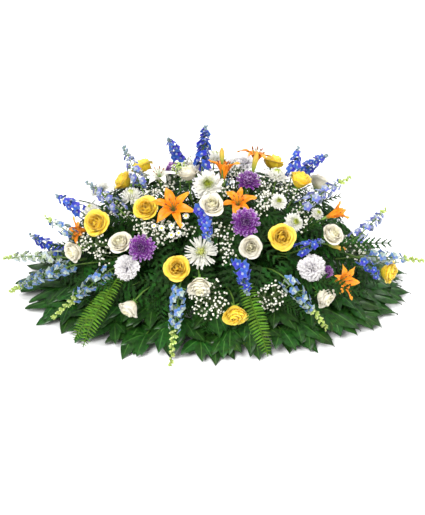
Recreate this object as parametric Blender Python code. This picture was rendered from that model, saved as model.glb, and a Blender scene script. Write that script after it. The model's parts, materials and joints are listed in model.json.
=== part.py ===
"""A casket spray: cut flowers and foliage stood in floral foam, in a low saddle tray.

Blender 4.5, metres, +Z up. The origin is under the middle of the tray, which stands on z = 0,
and the spray's front faces -Y. A bloom's place is read off the reference photograph, as a
column and a row of its 425 x 515 frame, and carried along that line of sight to the mound.
"""

import math
import random

import bmesh
import bpy
import numpy as np
from mathutils import Matrix, Vector
from mathutils.bvhtree import BVHTree

MM = 0.001

# How the photograph looks at the spray
FRAME_MIDDLE = (212.5, 257.5)
PIXEL = 2.3 * MM
VIEW_DISTANCE = 3.0
VIEW_ELEVATION = math.radians(30)
VIEW_AIM = Vector((-3.5 * MM, 0, 73 * MM))
RIGHT = Vector((1, 0, 0))
UP = Vector((0, math.sin(VIEW_ELEVATION), math.cos(VIEW_ELEVATION)))
TOWARD = Vector((0, -math.cos(VIEW_ELEVATION), math.sin(VIEW_ELEVATION)))
EYE = VIEW_AIM + TOWARD * VIEW_DISTANCE

# The mound that the blooms stand out to, as the half axes of an ellipsoid
MOUND = Vector((420, 270, 265)) * MM
MOUND_MIDDLE = Vector((0, 0, 30)) * MM

# Saddle tray and foam block
TRAY_HALF = (165 * MM, 70 * MM)
TRAY_CORNER = 40 * MM
TRAY_HEIGHT = 30 * MM
TRAY_WALL = 2.5 * MM
TRAY_FLOOR = 4 * MM
TRAY_FLARE = 6 * MM
FOAM_HALF = (150 * MM, 55 * MM)
FOAM_TOP = 96 * MM
FOAM_CHAMFER = 14 * MM
SEAT_GAP = 0.3 * MM
SLIVER = 0.005 * MM

# Stems
TRUNK_RADIUS = 3.2 * MM
HOLE_RADIUS = 3.9 * MM
TRUNK_DEPTH = 24 * MM
TRUNK_STANDS_OUT = 9 * MM
TRUNK_SPACING = 10 * MM
TRUNK_START_SHARE = (0.30, 0.10)
TRUNK_START_HEIGHT = 48 * MM
TRUNK_START_LIMITS = ((-125 * MM, 125 * MM), (-35 * MM, 35 * MM), (42 * MM, 62 * MM))
TRUNK_STEP = 7 * MM
TRUNK_OVER_RIM = 9 * MM
STEM_RADIUS = 1.9 * MM
FROND_STEM_RADIUS = 1.6 * MM
BREATH_STEM_RADIUS = 1.3 * MM
STAMEN_RADIUS = 1.6 * MM
KNEE = 26 * MM
KNEE_STEP = 9 * MM
FORK_SPACING = 13 * MM
CLEARANCE = 0.7 * MM
POINT_CLEARANCE = 3 * MM

# Fronds, flower spikes and mums
FROND_ROOT = Vector((0, 0, 70)) * MM
FROND_BARE_SHARE = 0.5
FROND_RIB = (1.5 * MM, 1.1 * MM)
FROND_STEP = 6 * MM
SWORD_LEAFLETS = 17
LEATHER_LEAFLETS = 5
WHORL_SPACING = 17 * MM
SLIM_SPIKE = 16 * MM
LARGE_MUM = 30 * MM
SMALL_MUM = 22 * MM

# Skirt of palmate leaves: rings of them, each as (leaves, half axes of the ellipse that their
# hubs stand on, half axes of the one that their tips reach, height over the skirt's own surface)
SKIRT_RINGS = (
    (11, (338 * MM, 240 * MM), (462 * MM, 338 * MM), 0),
    (11, (318 * MM, 220 * MM), (446 * MM, 326 * MM), 13 * MM),
    (8, (250 * MM, 158 * MM), (390 * MM, 280 * MM), 27 * MM),
    (6, (214 * MM, 122 * MM), (345 * MM, 246 * MM), 42 * MM),
)
RING_TURNS = (0.25, 0.75, 0.0, 0.25)
SKIRT_EDGE = (462 * MM, 338 * MM)
SKIRT_TIP_HEIGHT = 4 * MM
SKIRT_RISE = 34 * MM
SKIRT_STEM_HEIGHT = 46 * MM
SKIRT_STEM_LENGTH = 84 * MM
STALK_RADIUS = 2.4 * MM
LOBE_ANGLES = (-76, -38, 0, 38, 76)
LOBE_SHARES = (0.62, 0.88, 1.0, 0.88, 0.62)
LOBE_WIDTH = 38 * MM
LEAF_RIB = 1.1 * MM
LEAF_DROOP = 1.4 * MM

# Node name: its blooms, each as (column, row, radius in mm, where it faces, reach, openness).
# Where it faces is right, up and toward the eye, and None means straight out of the mound.
ROSES = {
    "yellow_roses_left": [
        (124, 181, 22, (-0.75, 0.55, 0.3), 1.02, 0.8),
        (146, 208, 25, (-0.1, 0.25, 0.95), 1.04, 1),
        (96, 223, 27, (-0.3, 0.1, 0.95), 1.05, 1),
    ],
    "yellow_roses_front": [
        (177, 268, 26, (-0.05, 0.05, 1), 1.03, 1),
        (235, 313, 24, (0.05, -0.7, 0.7), 1.06, 0.7),
    ],
    "yellow_roses_right": [
        (282, 237, 27, (0.05, -0.05, 1), 1.12, 1),
        (300, 181, 23, (0.3, 0.8, 0.4), 1.04, 0.75),
    ],
    "yellow_rose_end": [(388, 272, 23, (0.85, -0.2, 0.5), 1.05, 0.8)],
    "white_roses_crest": [
        (188, 174, 22, (-0.1, 0.9, 0.4), 1.04, 0.85),
        (212, 205, 23, (0.1, 0.35, 0.9), 1.14, 0.85),
    ],
    "white_roses_left": [
        (120, 242, 24, (-0.25, 0.45, 0.85), 1.04, 1),
        (75, 251, 21, (-0.6, -0.35, 0.7), 1.04, 0.7),
    ],
    "white_roses_low": [
        (130, 307, 21, (-0.55, -0.75, 0.35), 1.03, 0.65),
        (199, 285, 23, (0, -0.75, 0.65), 1.05, 0.7),
    ],
    "white_rose_front": [(251, 247, 23, (0.05, -0.1, 1), 1.03, 1)],
    "white_roses_right": [
        (324, 296, 22, (0.65, -0.55, 0.5), 1.04, 0.7),
        (332, 235, 23, (0.4, 0.4, 0.8), 1.03, 0.85),
    ],
}
ROSES_BEHIND = {
    "yellow_roses_behind": [(150, 216, 25, None, 1.03, 1), (292, 232, 26, None, 1.03, 1)],
    "white_roses_behind": [(236, 262, 24, None, 1.03, 0.9), (98, 254, 24, None, 1.03, 0.85)],
}
CARNATIONS = {
    "white_carnation_left": [(125.5, 268.5, 25, (-0.2, -0.1, 1), 1.02, 1)],
    "white_carnation_right": [(313.5, 268.5, 27, (0.2, 0, 1), 1.02, 1)],
    "white_carnations_crest": [
        (203, 166, 19, (0.1, 0.8, 0.5), 1, 1),
        (246, 160, 20, (0.2, 0.85, 0.5), 1.04, 1),
    ],
}
CARNATIONS_BEHIND = {
    "white_carnation_behind": [(188, 240, 25, None, 1.02, 1)],
}
WHITE_MUMS = {
    "white_mum_crest": [(208, 184, 37, (-0.05, 0.2, 0.97), 1.06, 1)],
    "white_mum_front": [(201, 252, 37, (0, 0.1, 1), 1.03, 1)],
    "white_mums_left": [
        (131, 195, 26, (-0.05, 0.75, 0.6), 1.04, 1),
        (91, 209, 20, (-0.4, 0.8, 0.4), 1.02, 1),
    ],
    "white_mums_right": [
        (277, 173, 27, (0.15, 0.85, 0.4), 1.06, 1),
        (279, 201, 20, (0.1, 0.3, 0.9), 1.06, 1),
        (295, 222, 25, (0.4, 0.2, 0.85), 0.95, 1),
        (318, 213, 17, (0.4, 0.5, 0.7), 1.02, 1),
    ],
}
WHITE_MUMS_BEHIND = {
    "white_mums_behind": [(214, 208, 34, None, 1.02, 1), (340, 250, 28, None, 1.02, 1)],
}
PURPLE_MUMS = {
    "purple_mum_left": [(141, 247.5, 33, (-0.1, 0.05, 1), 1.05, 1)],
    "purple_mums_crest": [
        (246, 222, 35, (0.05, 0.1, 1), 1.07, 1),
        (249, 178, 31, (0.15, 0.75, 0.6), 1.04, 1),
    ],
    "purple_mum_end": [(328, 272.5, 14, (0.4, -0.1, 0.9), 0.97, 1)],
}
PURPLE_MUMS_BEHIND = {
    "purple_mum_behind": [(262, 250, 32, None, 1.02, 1)],
}
LILIES = {
    "orange_lily_front": [(173, 207, 48, (-0.02, 0.35, 0.93), 1.06, 1)],
    "orange_lily_crest": [(224, 170, 44, (0.05, 0.97, 0.2), 1.1, 1)],
    "orange_lily_mid": [(238, 202, 40, (0.02, 0.6, 0.8), 1.01, 1)],
    "orange_lilies_right": [
        (334, 214, 38, (0.9, 0.4, 0.2), 1.11, 0.55),
        (343, 281, 42, (0.7, 0.05, 0.75), 1.03, 0.8),
    ],
    "orange_lily_left": [(80, 231, 36, (-0.85, -0.1, 0.5), 0.98, 0.8)],
    "white_lily_crest": [(159, 175, 38, (0, 0.8, 0.5), 1, 0.9)],
}
LILIES_BEHIND = {
    "orange_lily_behind": [(170, 190, 42, None, 1.06, 1)],
}
# A bud shares its lily's node: (column, row, length in mm, where it points, reach)
LILY_BUDS = {
    "orange_lily_crest": [(222, 156, 36, (-0.02, 1, 0.1), 1.22)],
    "orange_lily_mid": [(255, 162, 46, (0.2, 0.95, 0.15), 1.12)],
    "orange_lilies_right": [(337, 247, 40, (0.9, -0.25, 0.3), 1)],
}
# Flower spikes: ((column, row, reach) at the lowest floret, the same at the tip, width in mm
# from the stem to a petal tip).
# A negative reach is a height above the table in mm, for what hangs over the skirt.
BLUE_SPIKES = {
    "blue_delphiniums_middle": [
        ((202, 168, 1.04), (206, 127, 1.3), 17),
        ((202, 208, 1.02), (209, 240, 1.13), 17),
    ],
    "blue_delphiniums_right": [
        ((291, 178, 1), (298, 148, 1.25), 15),
        ((299, 250, 1), (322, 241, 1.04), 15),
        ((362, 259, 1), (378, 278, 1.09), 13),
    ],
    "blue_delphinium_front": [((239, 260, 1), (247, 293, 1.08), 17)],
    "blue_delphiniums_left": [
        ((62, 253, 0.9), (31, 235, 1.08), 15),
        ((84, 214, 0.98), (57, 196, 1.2), 15),
    ],
}
BLUE_SPIKES_BEHIND = {
    "blue_delphiniums_behind": [
        ((120, 226, 1), (96, 190, 1.2), 15),
        ((252, 214, 1), (262, 176, 1.2), 15),
    ],
}
PALE_SPIKES = {
    "pale_delphiniums_upper_left": [
        ((141, 187, 1), (124, 147, 1.25), 17),
        ((122, 212, 1), (88, 183, 1.2), 17),
    ],
    "pale_delphiniums_upper_right": [
        ((302, 207, 1), (349, 178, 1.25), 17),
        ((355, 239, 1), (385, 210, 1.2), 17),
    ],
    "pale_delphinium_front": [((180, 285, 1), (171, 364, -21.5), 17)],
    "pale_delphinium_low_left": [((110, 270, 0.94), (54, 317, -41), 17)],
    "pale_delphiniums_left": [
        ((74, 265, 0.98), (11, 291, -30), 17),
        ((60, 257, 0.94), (5, 258, 1.15), 15),
        ((74, 236, 0.98), (46, 217, 1.15), 15),
    ],
    "pale_delphinium_low_right": [((286, 279, 1), (326, 328, -33.5), 17)],
    "pale_delphinium_end": [((366, 256, 1), (422, 261, 1.25), 17)],
}
PALE_SPIKES_BEHIND = {
    "pale_delphiniums_behind": [
        ((204, 280, 1), (196, 350, -27.5), 17),
        ((300, 262, 1), (352, 300, -41.5), 17),
    ],
}
# Baby's breath: (column, row, spread in mm, reach)
BABYS_BREATH = {
    "babys_breath_left": [
        (151, 230, 27, 0.98),
        (88, 240, 26, 1.02),
        (173, 172, 24, 0.96),
        (170, 228, 24, 1),
    ],
    "babys_breath_front": [(209, 302, 34, 1.06), (221, 232, 24, 1)],
    "babys_breath_right": [(273, 297, 28, 0.98), (268, 196, 20, 1.04), (361, 250, 22, 0.94)],
}
BABYS_BREATH_BEHIND = {
    "babys_breath_behind": [(240, 232, 28, 1.02), (150, 262, 28, 1)],
}
# Sword fern: ((column, row, reach) at the lowest leaflet, the same at the tip, half width in mm)
SWORD_FERNS = {
    "sword_fern_left": [
        ((117, 279, 0.98), (83, 347, -40), 29),
        ((104, 288, 0.93), (70, 334, -32), 24),
    ],
    "sword_fern_right": [((246, 286, 0.95), (268, 356, -22), 25)],
}
# Leatherleaf runs out from the foam: (column, row, reach) at its tip, half width in mm
LEATHERLEAF = {
    "leatherleaf_left": [
        ((118, 218, 1.02), 38),
        ((98, 287, 1.13), 38),
        ((52, 246, 1), 36),
        ((104, 196, 0.93), 36),
        ((78, 282, 1.01), 36),
    ],
    "leatherleaf_front": [
        ((170, 246, 0.94), 36),
        ((206, 330, 1.02), 40),
        ((150, 304, 1.02), 38),
        ((176, 318, 1.1), 36),
        ((188, 196, 0.92), 34),
        ((236, 250, 0.8), 36),
        ((196, 262, 0.75), 36),
    ],
    "leatherleaf_right": [
        ((268, 210, 0.94), 34),
        ((284, 280, 0.89), 38),
        ((388, 243, 1.32), 38),
        ((322, 222, 1.05), 38),
        ((300, 312, 1.16), 38),
        ((360, 292, 1.33), 38),
        ((262, 320, 0.73), 36),
        ((338, 196, 1.12), 34),
        ((270, 262, 0.8), 36),
        ((254, 186, 0.92), 34),
    ],
}
LEATHERLEAF_BEHIND = {
    "leatherleaf_behind": [
        ((176, 262, 1.02), 40),
        ((262, 292, 1), 40),
        ((356, 236, 0.98), 40),
        ((130, 288, 0.81), 40),
        ((240, 322, 1.15), 34),
        ((150, 300, 0.89), 38),
        ((280, 306, 0.72), 38),
        ((212, 262, 0.98), 36),
        ((300, 226, 0.87), 36),
        ((110, 240, 0.95), 36),
        ((316, 290, 1.04), 40),
    ],
}

COLOURS = {
    "yellow_rose": (0.92, 0.62, 0.03),
    "white_petal": (0.86, 0.84, 0.74),
    "green_heart": (0.55, 0.60, 0.10),
    "anther": (0.25, 0.06, 0.01),
    "stem": (0.10, 0.25, 0.03),
    "green_bud": (0.42, 0.55, 0.12),
    "purple_mum": (0.24, 0.05, 0.30),
    "orange_lily": (0.90, 0.31, 0.02),
    "blue_floret": (0.05, 0.10, 0.55),
    "pale_floret": (0.32, 0.46, 0.80),
    "sword_fern": (0.20, 0.36, 0.03),
    "leatherleaf": (0.03, 0.12, 0.02),
    "skirt_leaf": (0.02, 0.10, 0.01),
    "foam": (0.05, 0.16, 0.06),
    "tray": (0.03, 0.10, 0.04),
}


def clear_scene():
    for item in list(bpy.data.objects):
        bpy.data.objects.remove(item)


def leaf_material(name):
    """A Principled finish in one of the colours above."""
    found = bpy.data.materials.get(name)
    if found:
        return found
    made = bpy.data.materials.new(name)
    made.use_nodes = True
    surface = made.node_tree.nodes["Principled BSDF"]
    surface.inputs["Base Color"].default_value = (*COLOURS[name], 1)
    surface.inputs["Roughness"].default_value = 0.35 if name == "skirt_leaf" else 0.6
    surface.inputs["Metallic"].default_value = 0
    return made


# Places read off the photograph


def sight(column, row):
    """The direction from the eye through one point of the photograph."""
    across = (column - FRAME_MIDDLE[0]) * PIXEL
    rise = (FRAME_MIDDLE[1] - row) * PIXEL
    return (RIGHT * across + UP * rise - TOWARD * VIEW_DISTANCE).normalized()


def on_mound(column, row, reach):
    """Where that line of sight meets the mound, swollen by reach, or passes nearest to it."""
    way = sight(column, row)
    start = Vector((EYE - MOUND_MIDDLE)[i] / (MOUND[i] * reach) for i in range(3))
    step = Vector(way[i] / (MOUND[i] * reach) for i in range(3))
    half = start.dot(step)
    inner = half * half - step.length_squared * (start.length_squared - 1)
    distance = (-half - math.sqrt(max(inner, 0))) / step.length_squared
    return EYE + way * distance


def at_height(column, row, height):
    """Where that line of sight comes down to a height above the table."""
    way = sight(column, row)
    return EYE + way * ((height - EYE.z) / way.z)


def place(column, row, reach):
    return on_mound(column, row, reach) if reach > 0 else at_height(column, row, -reach * MM)


def straight_out(point):
    """The mound's outward direction at a point."""
    return Vector((point - MOUND_MIDDLE)[i] / MOUND[i] ** 2 for i in range(3)).normalized()


def facing(faces, point):
    if faces is None:
        return straight_out(point)
    right, up, toward = faces
    return (RIGHT * right + UP * up + TOWARD * toward).normalized()


def turned_behind(vector):
    """The same place or direction on the far side, for what stands behind."""
    return Vector((-vector.x, -vector.y, vector.z))


# Closed shapes, each as (points, faces) with its faces pointing out


def outward(points, faces):
    volume = 0.0
    for face in faces:
        for i in range(1, len(face) - 1):
            a, b, c = points[face[0]], points[face[i]], points[face[i + 1]]
            volume += a.dot(b.cross(c))
    return points, [f[::-1] for f in faces] if volume < 0 else faces


def set_along(points, middle, direction, roll=0.0):
    """Points drawn round +Z, moved so that +Z runs along direction and the origin is at middle."""
    turn = direction.to_track_quat("Z", "Y").to_matrix() @ Matrix.Rotation(roll, 3, "Z")
    return [middle + turn @ p for p in points]


def ring_shape(bottom, rings, top, split=None):
    """A closed shape from rings of equal count, with a pole above and a pole or flat below."""
    sides = len(rings[0])
    points = [p for ring in rings for p in ring] + [top]
    last = len(points) - 1
    faces = []
    if bottom is None:
        faces.append(tuple(range(sides))[::-1])
    else:
        points.append(bottom)
    for j in range(sides):
        k = (j + 1) % sides
        if bottom is not None:
            faces.append((last + 1, k, j))
        faces.append((last, last - sides + j, last - sides + k))
        for i in range(len(rings) - 1):
            a, b = i * sides + j, i * sides + k
            c, d = b + sides, a + sides
            if split and split(i, j):
                faces += [(a, b, d), (b, c, d)]
            else:
                faces += [(a, b, c), (a, c, d)]
    return outward(points, faces)


def circle(radius, height, sides, phase=0.0):
    step = 2 * math.pi / sides
    return [
        Vector((radius * math.cos(phase + j * step), radius * math.sin(phase + j * step), height))
        for j in range(sides)
    ]


def tube(path, radii, sides=3):
    """A closed rod along a path, with a flat cap at each end."""
    side = (path[1] - path[0]).orthogonal().normalized()
    points = []
    for i, point in enumerate(path):
        ahead = (path[min(i + 1, len(path) - 1)] - path[max(i - 1, 0)]).normalized()
        side = (side - ahead * side.dot(ahead)).normalized()
        other = ahead.cross(side)
        for j in range(sides):
            angle = 2 * math.pi * j / sides
            points.append(point + (side * math.cos(angle) + other * math.sin(angle)) * radii[i])
    faces = [tuple(range(sides)), tuple(range(len(points) - sides, len(points)))[::-1]]
    for i in range(len(path) - 1):
        for j in range(sides):
            a, b = i * sides + j, i * sides + (j + 1) % sides
            faces.append((a, a + sides, b + sides, b))
    return outward(points, faces)


def rod(path, radius):
    """A rounder rod than the stem that is built there, to try whether a stem has room."""
    return tube(path, [radius] * len(path), 5)


# What is already standing, so that a later stem or leaflet is bent clear of it


class Standing:
    """Every shape placed so far, with the node that owns it."""

    def __init__(self):
        self.owners = []
        self.trees = []
        self.first = []
        self.low = np.zeros((0, 3))
        self.high = np.zeros((0, 3))

    def add(self, owner, shapes):
        for points, faces in shapes:
            co = np.array(points)
            self.owners.append(owner)
            self.trees.append(BVHTree.FromPolygons(points, faces))
            self.first.append(points[0])
            self.low = np.vstack([self.low, co.min(0)])
            self.high = np.vstack([self.high, co.max(0)])

    def met_by(self, owner, shape):
        """The owners, other than this one, that a shape would cross or come too near."""
        points, faces = grown(shape, CLEARANCE)
        co = np.array(points)
        near = np.all((self.low <= co.max(0)) & (self.high >= co.min(0)), axis=1)
        tree = None
        met = set()
        for i in np.nonzero(near)[0]:
            if self.owners[i] == owner or self.owners[i] in met:
                continue
            tree = tree or BVHTree.FromPolygons(points, faces)
            if (
                tree.overlap(self.trees[i])
                or holds(self.trees[i], points[0])
                or holds(tree, self.first[i])
            ):
                met.add(self.owners[i])
        return met

    def free_way(self, owner, start, way, far):
        """How far a ray runs before it meets another node, up to a limit."""
        ends = np.array([start, start + way * far])
        near = np.all((self.low <= ends.max(0)) & (self.high >= ends.min(0)), axis=1)
        for i in np.nonzero(near)[0]:
            if self.owners[i] != owner:
                hit = self.trees[i].ray_cast(start, way, far)
                far = hit[3] if hit[0] is not None else far
        return far


def grown(shape, by):
    """The shape with each corner moved outward."""
    points, faces = shape
    push = [Vector() for _ in points]
    for face in faces:
        normal = (points[face[1]] - points[face[0]]).cross(points[face[2]] - points[face[0]])
        for i in face:
            push[i] += normal
    return [p + n.normalized() * by for p, n in zip(points, push)], faces


def fitted(standing, owner, body):
    """A spiked body with each point drawn in to its axis until it's clear, or None."""
    axis, points, faces = body
    points = list(points)
    for i, (middle, point) in enumerate(zip(axis, points)):
        reach = (point - middle).length
        if reach > 0:
            way = (point - middle) / reach
            free = standing.free_way(owner, middle, way, reach + POINT_CLEARANCE)
            share = (free - POINT_CLEARANCE) / reach
            points[i] = middle + (point - middle) * max(0.35, min(1, share))
    for _ in range(8):
        shape = outward(points, faces)
        if not standing.met_by(owner, shape):
            return shape
        points = [m + (p - m) * 0.88 for m, p in zip(axis, points)]
    return None


def holds(tree, point):
    """Whether a closed shape's tree has this point inside it."""
    way = Vector((0.137, 0.211, 0.968))
    start, count = point, 0
    while count < 40:
        hit = tree.ray_cast(start, way)
        if hit[0] is None:
            break
        count += 1
        start = hit[0] + way * 1e-6
    return count % 2 == 1


# Heads


def zigzag(out, dip, height, drop, sides, odd=0):
    """A ring of petal tips and the dips between them: tips at out, dips at dip and lower by drop."""
    ring = []
    for j in range(sides):
        low = (j + odd) % 2
        reach = dip if low else out
        angle = 2 * math.pi * j / sides
        ring.append(
            Vector((reach * math.cos(angle), reach * math.sin(angle), height - drop * low))
        )
    return ring


def scaled(rings, wide, tall):
    return [[Vector((p.x * wide, p.y * wide, p.z * tall)) for p in ring] for ring in rings]


def rose(middle, direction, radius, openness, roll):
    """Two cups of five petals, one inside the other, round a pointed heart."""
    wide = radius * (0.6 + 0.4 * openness)
    tall = radius * (1.4 - 0.4 * openness)
    rings = [
        zigzag(0.40, 0.40, -0.72, 0, 10),
        zigzag(1.04, 0.86, 0.14, 0.14, 10),
        zigzag(0.70, 0.70, 0.02, 0, 10),
        zigzag(0.68, 0.56, 0.48, 0.12, 10, 1),
        zigzag(0.36, 0.36, 0.26, 0, 10),
    ]
    heart = Vector((0, 0, 0.62 * tall))
    points, faces = ring_shape(None, scaled(rings, wide, tall), heart)
    return [(set_along(points, middle, direction, roll), faces)], 0.6 * tall


def carnation(middle, direction, radius, openness, roll):
    """Tiers of frilled petal edges over a narrow cup."""
    rings = [
        zigzag(0.30, 0.30, -0.80, 0, 12),
        zigzag(1.02, 0.84, 0.02, -0.16, 12),
        zigzag(0.68, 0.68, 0.04, 0, 12),
        zigzag(0.78, 0.58, 0.40, -0.14, 12, 1),
        zigzag(0.36, 0.36, 0.30, 0, 12),
    ]
    heart = Vector((0, 0, 0.66 * radius))
    points, faces = ring_shape(None, scaled(rings, radius, radius), heart)
    return [(set_along(points, middle, direction, roll), faces)], 0.7 * radius


def mum(middle, direction, radius, openness, roll):
    """Rings of pointed petals, each ring's points standing between those of the next."""
    large = radius > LARGE_MUM
    sides = 12 if large else 10 if radius > SMALL_MUM else 8
    leans = (124, 98, 72, 48, 24) if large else (120, 90, 58, 28)
    step = 2 * math.pi / sides
    rings = []
    for i, lean in enumerate(leans):
        ring = []
        for j in range(sides):
            reach = radius * (1.0 if (i + j) % 2 == 0 else 0.62)
            flat = reach * math.sin(math.radians(lean))
            rise = reach * math.cos(math.radians(lean)) * 0.72
            ring.append(Vector((flat * math.cos(j * step), flat * math.sin(j * step), rise)))
        rings.append(ring)
    low, high = Vector((0, 0, -0.5 * radius)), Vector((0, 0, 0.45 * radius))
    points, faces = ring_shape(low, rings, high, checkered)
    return [(set_along(points, middle, direction, roll), faces)], 0.36 * radius


def checkered(i, j):
    """Which way to split each quad, so that the split joins the dips and leaves the tips sharp."""
    return (i + j) % 2 == 0


def lily(middle, direction, radius, openness, roll):
    """Six recurved petals round a deep throat, with stamens standing out of it."""
    shut = 1 - openness
    tip_out, tip_rise = 0.5 + 0.52 * openness, 0.10 + 0.75 * shut
    rings = [
        zigzag(0.11, 0.11, -0.74, 0, 12),
        zigzag(0.34 + 0.1 * openness, 0.27, -0.26 + 0.05 * shut, -0.04, 12),
        zigzag(tip_out, 0.42, tip_rise, tip_rise - 0.06 - 0.1 * shut, 12),
    ]
    for j in range(0, 12, 4):
        rings[2][j] *= 1.04
        rings[2][j].z += 0.06
    throat = Vector((0, 0, -0.22 * radius))
    points, faces = ring_shape(None, scaled(rings, radius, radius), throat)
    shapes = [(points, faces)]
    for j in range(3):
        angle = 2 * math.pi * j / 3
        aside = Vector((math.cos(angle), math.sin(angle), 0)) * (0.18 * radius)
        foot = Vector((0, 0, -0.42 * radius)) + aside * 0.1
        tip = Vector((0, 0, 0.30 * radius)) + aside
        shapes.append(needle(foot, tip, STAMEN_RADIUS))
    return [(set_along(p, middle, direction, roll), f) for p, f in shapes], 0.7 * radius


def bud(middle, direction, length):
    """A closed lily bud: a long spindle, widest above its middle."""
    rings = [circle(0.12 * length, -0.25 * length, 6), circle(0.15 * length, 0.18 * length, 6)]
    points, faces = ring_shape(Vector((0, 0, -length / 2)), rings, Vector((0, 0, length / 2)))
    return set_along(points, middle, direction), faces


def spike_body(path, wide):
    """A spike of florets: whorls of petal tips up its stem, closing to the buds at its end."""
    length = (path[1] - path[0]).length + (path[2] - path[1]).length
    whorls = max(4, round(length / WHORL_SPACING))
    sides = 8 if wide > SLIM_SPIKE else 6
    spots = curve_points(path, whorls)
    side = (spots[1] - spots[0]).orthogonal().normalized()
    rings, axis = [], []
    for i in range(whorls):
        share = i / whorls
        ahead = (spots[i + 1] - spots[max(i - 1, 0)]).normalized()
        side = (side - ahead * side.dot(ahead)).normalized()
        other = ahead.cross(side)
        radius = wide * (1 - 0.7 * share**1.4) * (0.8 if i == 0 else 1)
        ring = []
        for j in range(sides):
            tip = (i + j) % 2 == 0
            reach = radius * (1.0 if tip else 0.5)
            angle = 2 * math.pi * j / sides
            flat = (side * math.cos(angle) + other * math.sin(angle)) * reach
            ring.append(spots[i] + flat + ahead * (0.3 * radius if tip else 0))
        rings.append(ring)
        axis += [spots[i]] * sides
    low = spots[0] - (spots[1] - spots[0]).normalized() * (0.6 * wide)
    points, faces = ring_shape(low, rings, spots[-1], checkered)
    return [*axis, spots[-1], low], points, faces


def tuft(foot, out, spread):
    """Baby's breath: thin sprays that all leave one point, each ending in a tiny flower."""
    sides = 10
    leans = (112, 84, 54, 26)
    rings = []
    for i, lean in enumerate(leans):
        ring = []
        for j in range(sides):
            reach = spread * (1.0 if (i + j) % 2 == 0 else 0.3)
            flat, rise = reach * math.sin(math.radians(lean)), reach * math.cos(math.radians(lean))
            angle = 2 * math.pi * j / sides
            ring.append(Vector((flat * math.cos(angle), flat * math.sin(angle), rise)))
        rings.append(ring)
    low, high = Vector((0, 0, -0.35 * spread)), Vector((0, 0, spread))
    points, faces = ring_shape(low, rings, high, checkered)
    return [foot] * len(points), set_along(points, foot, out), faces


def needle(foot, tip, radius):
    """A three-sided spine, from a flat foot to a point."""
    side = (tip - foot).orthogonal().normalized()
    other = (tip - foot).normalized().cross(side)
    points = []
    for j in range(3):
        angle = 2 * math.pi * j / 3
        points.append(foot + (side * math.cos(angle) + other * math.sin(angle)) * radius)
    return outward(points + [tip], [(0, 2, 1), (0, 1, 3), (1, 2, 3), (2, 0, 3)])


# Stems, which all start from a short trunk in the foam


def foam_exit(start, direction):
    """How far a line from inside the foam runs before it leaves the block."""
    low = Vector((-FOAM_HALF[0], -FOAM_HALF[1], TRAY_FLOOR))
    high = Vector((FOAM_HALF[0], FOAM_HALF[1], FOAM_TOP))
    ways = []
    for i in range(3):
        if abs(direction[i]) > 1e-9:
            wall = high[i] if direction[i] > 0 else low[i]
            ways.append((wall - start[i]) / direction[i])
    return min(ways)


def segment_gap(first, second, steps=7):
    """The least distance between two short straight rods, sampled along both."""
    shares = [i / (steps - 1) for i in range(steps)]
    return min(
        (first[0].lerp(first[1], s) - second[0].lerp(second[1], t)).length
        for s in shares
        for t in shares
    )


def trunk_for(owner, target, taken, standing):
    """Where a node's stems enter the foam: near the straight way in, and clear of the others."""
    for reach in range(8):
        for turn in range(1 if reach == 0 else 10):
            angle = 2 * math.pi * turn / 10
            shift = Vector((math.cos(angle), 0.45 * math.sin(angle), 0.35 * math.sin(angle * 2)))
            inner = shift * (reach * TRUNK_STEP)
            inner.x += TRUNK_START_SHARE[0] * target.x
            inner.y += TRUNK_START_SHARE[1] * target.y
            inner.z += TRUNK_START_HEIGHT
            for i, (least, most) in enumerate(TRUNK_START_LIMITS):
                inner[i] = max(least, min(most, inner[i]))
            direction = (target - inner).normalized()
            direction.z = max(direction.z, -0.04)
            direction.normalize()
            face = inner + direction * foam_exit(inner, direction)
            deep = min(TRUNK_DEPTH, (face - inner).length + 18 * MM)
            way_in = (face - direction * deep, face + direction * TRUNK_STANDS_OUT)
            if face.z < TRAY_HEIGHT + TRUNK_OVER_RIM:
                continue
            if any(segment_gap(way_in, other) < TRUNK_SPACING for other in taken):
                continue
            if standing.met_by(owner, rod(way_in, TRUNK_RADIUS)) - {"floral_foam"}:
                continue
            return way_in
    print("no clear trunk for", owner)
    return way_in


def offsets(step, count=3, turns=8):
    """Sideways moves to try, the smallest first."""
    yield 0.0, 0.0
    for ring in range(1, count + 1):
        for turn in range(turns):
            angle = 2 * math.pi * (turn + 0.5 * (ring % 2)) / turns
            yield ring * step * math.cos(angle), ring * step * math.sin(angle)


def bent_clear(owner, path, bends, radius, standing, step=KNEE_STEP, count=4):
    """The path with its inner points moved sideways until the stem crosses nothing."""
    ahead = (path[-1] - path[0]).normalized()
    side = ahead.orthogonal().normalized()
    other = ahead.cross(side)
    first_met = None
    for right, up in offsets(step, count):
        moved = list(path)
        for i in bends:
            moved[i] = path[i] + side * right + other * up
        met = standing.met_by(owner, rod(moved, radius))
        if not met:
            return moved
        first_met = first_met or met
    print("no clear way for a stem of", owner, "past", sorted(first_met))
    return list(path)


# Nodes


class Spray:
    """The nodes being gathered: their shapes, and the ends that their stems must reach."""

    def __init__(self):
        self.shapes = {}
        self.ends = {}
        self.standing = Standing()
        self.roots = {}
        self.first_stems = {}
        self.random = random.Random(11)

    def grow(self, owner, shape, finish):
        self.shapes.setdefault(owner, []).append((shape, finish))
        self.standing.add(owner, [shape])

    def end(self, owner, back, foot):
        """One end that the node's stems reach, and the way that leads back from it."""
        self.ends.setdefault(owner, []).append((back, foot))


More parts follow.
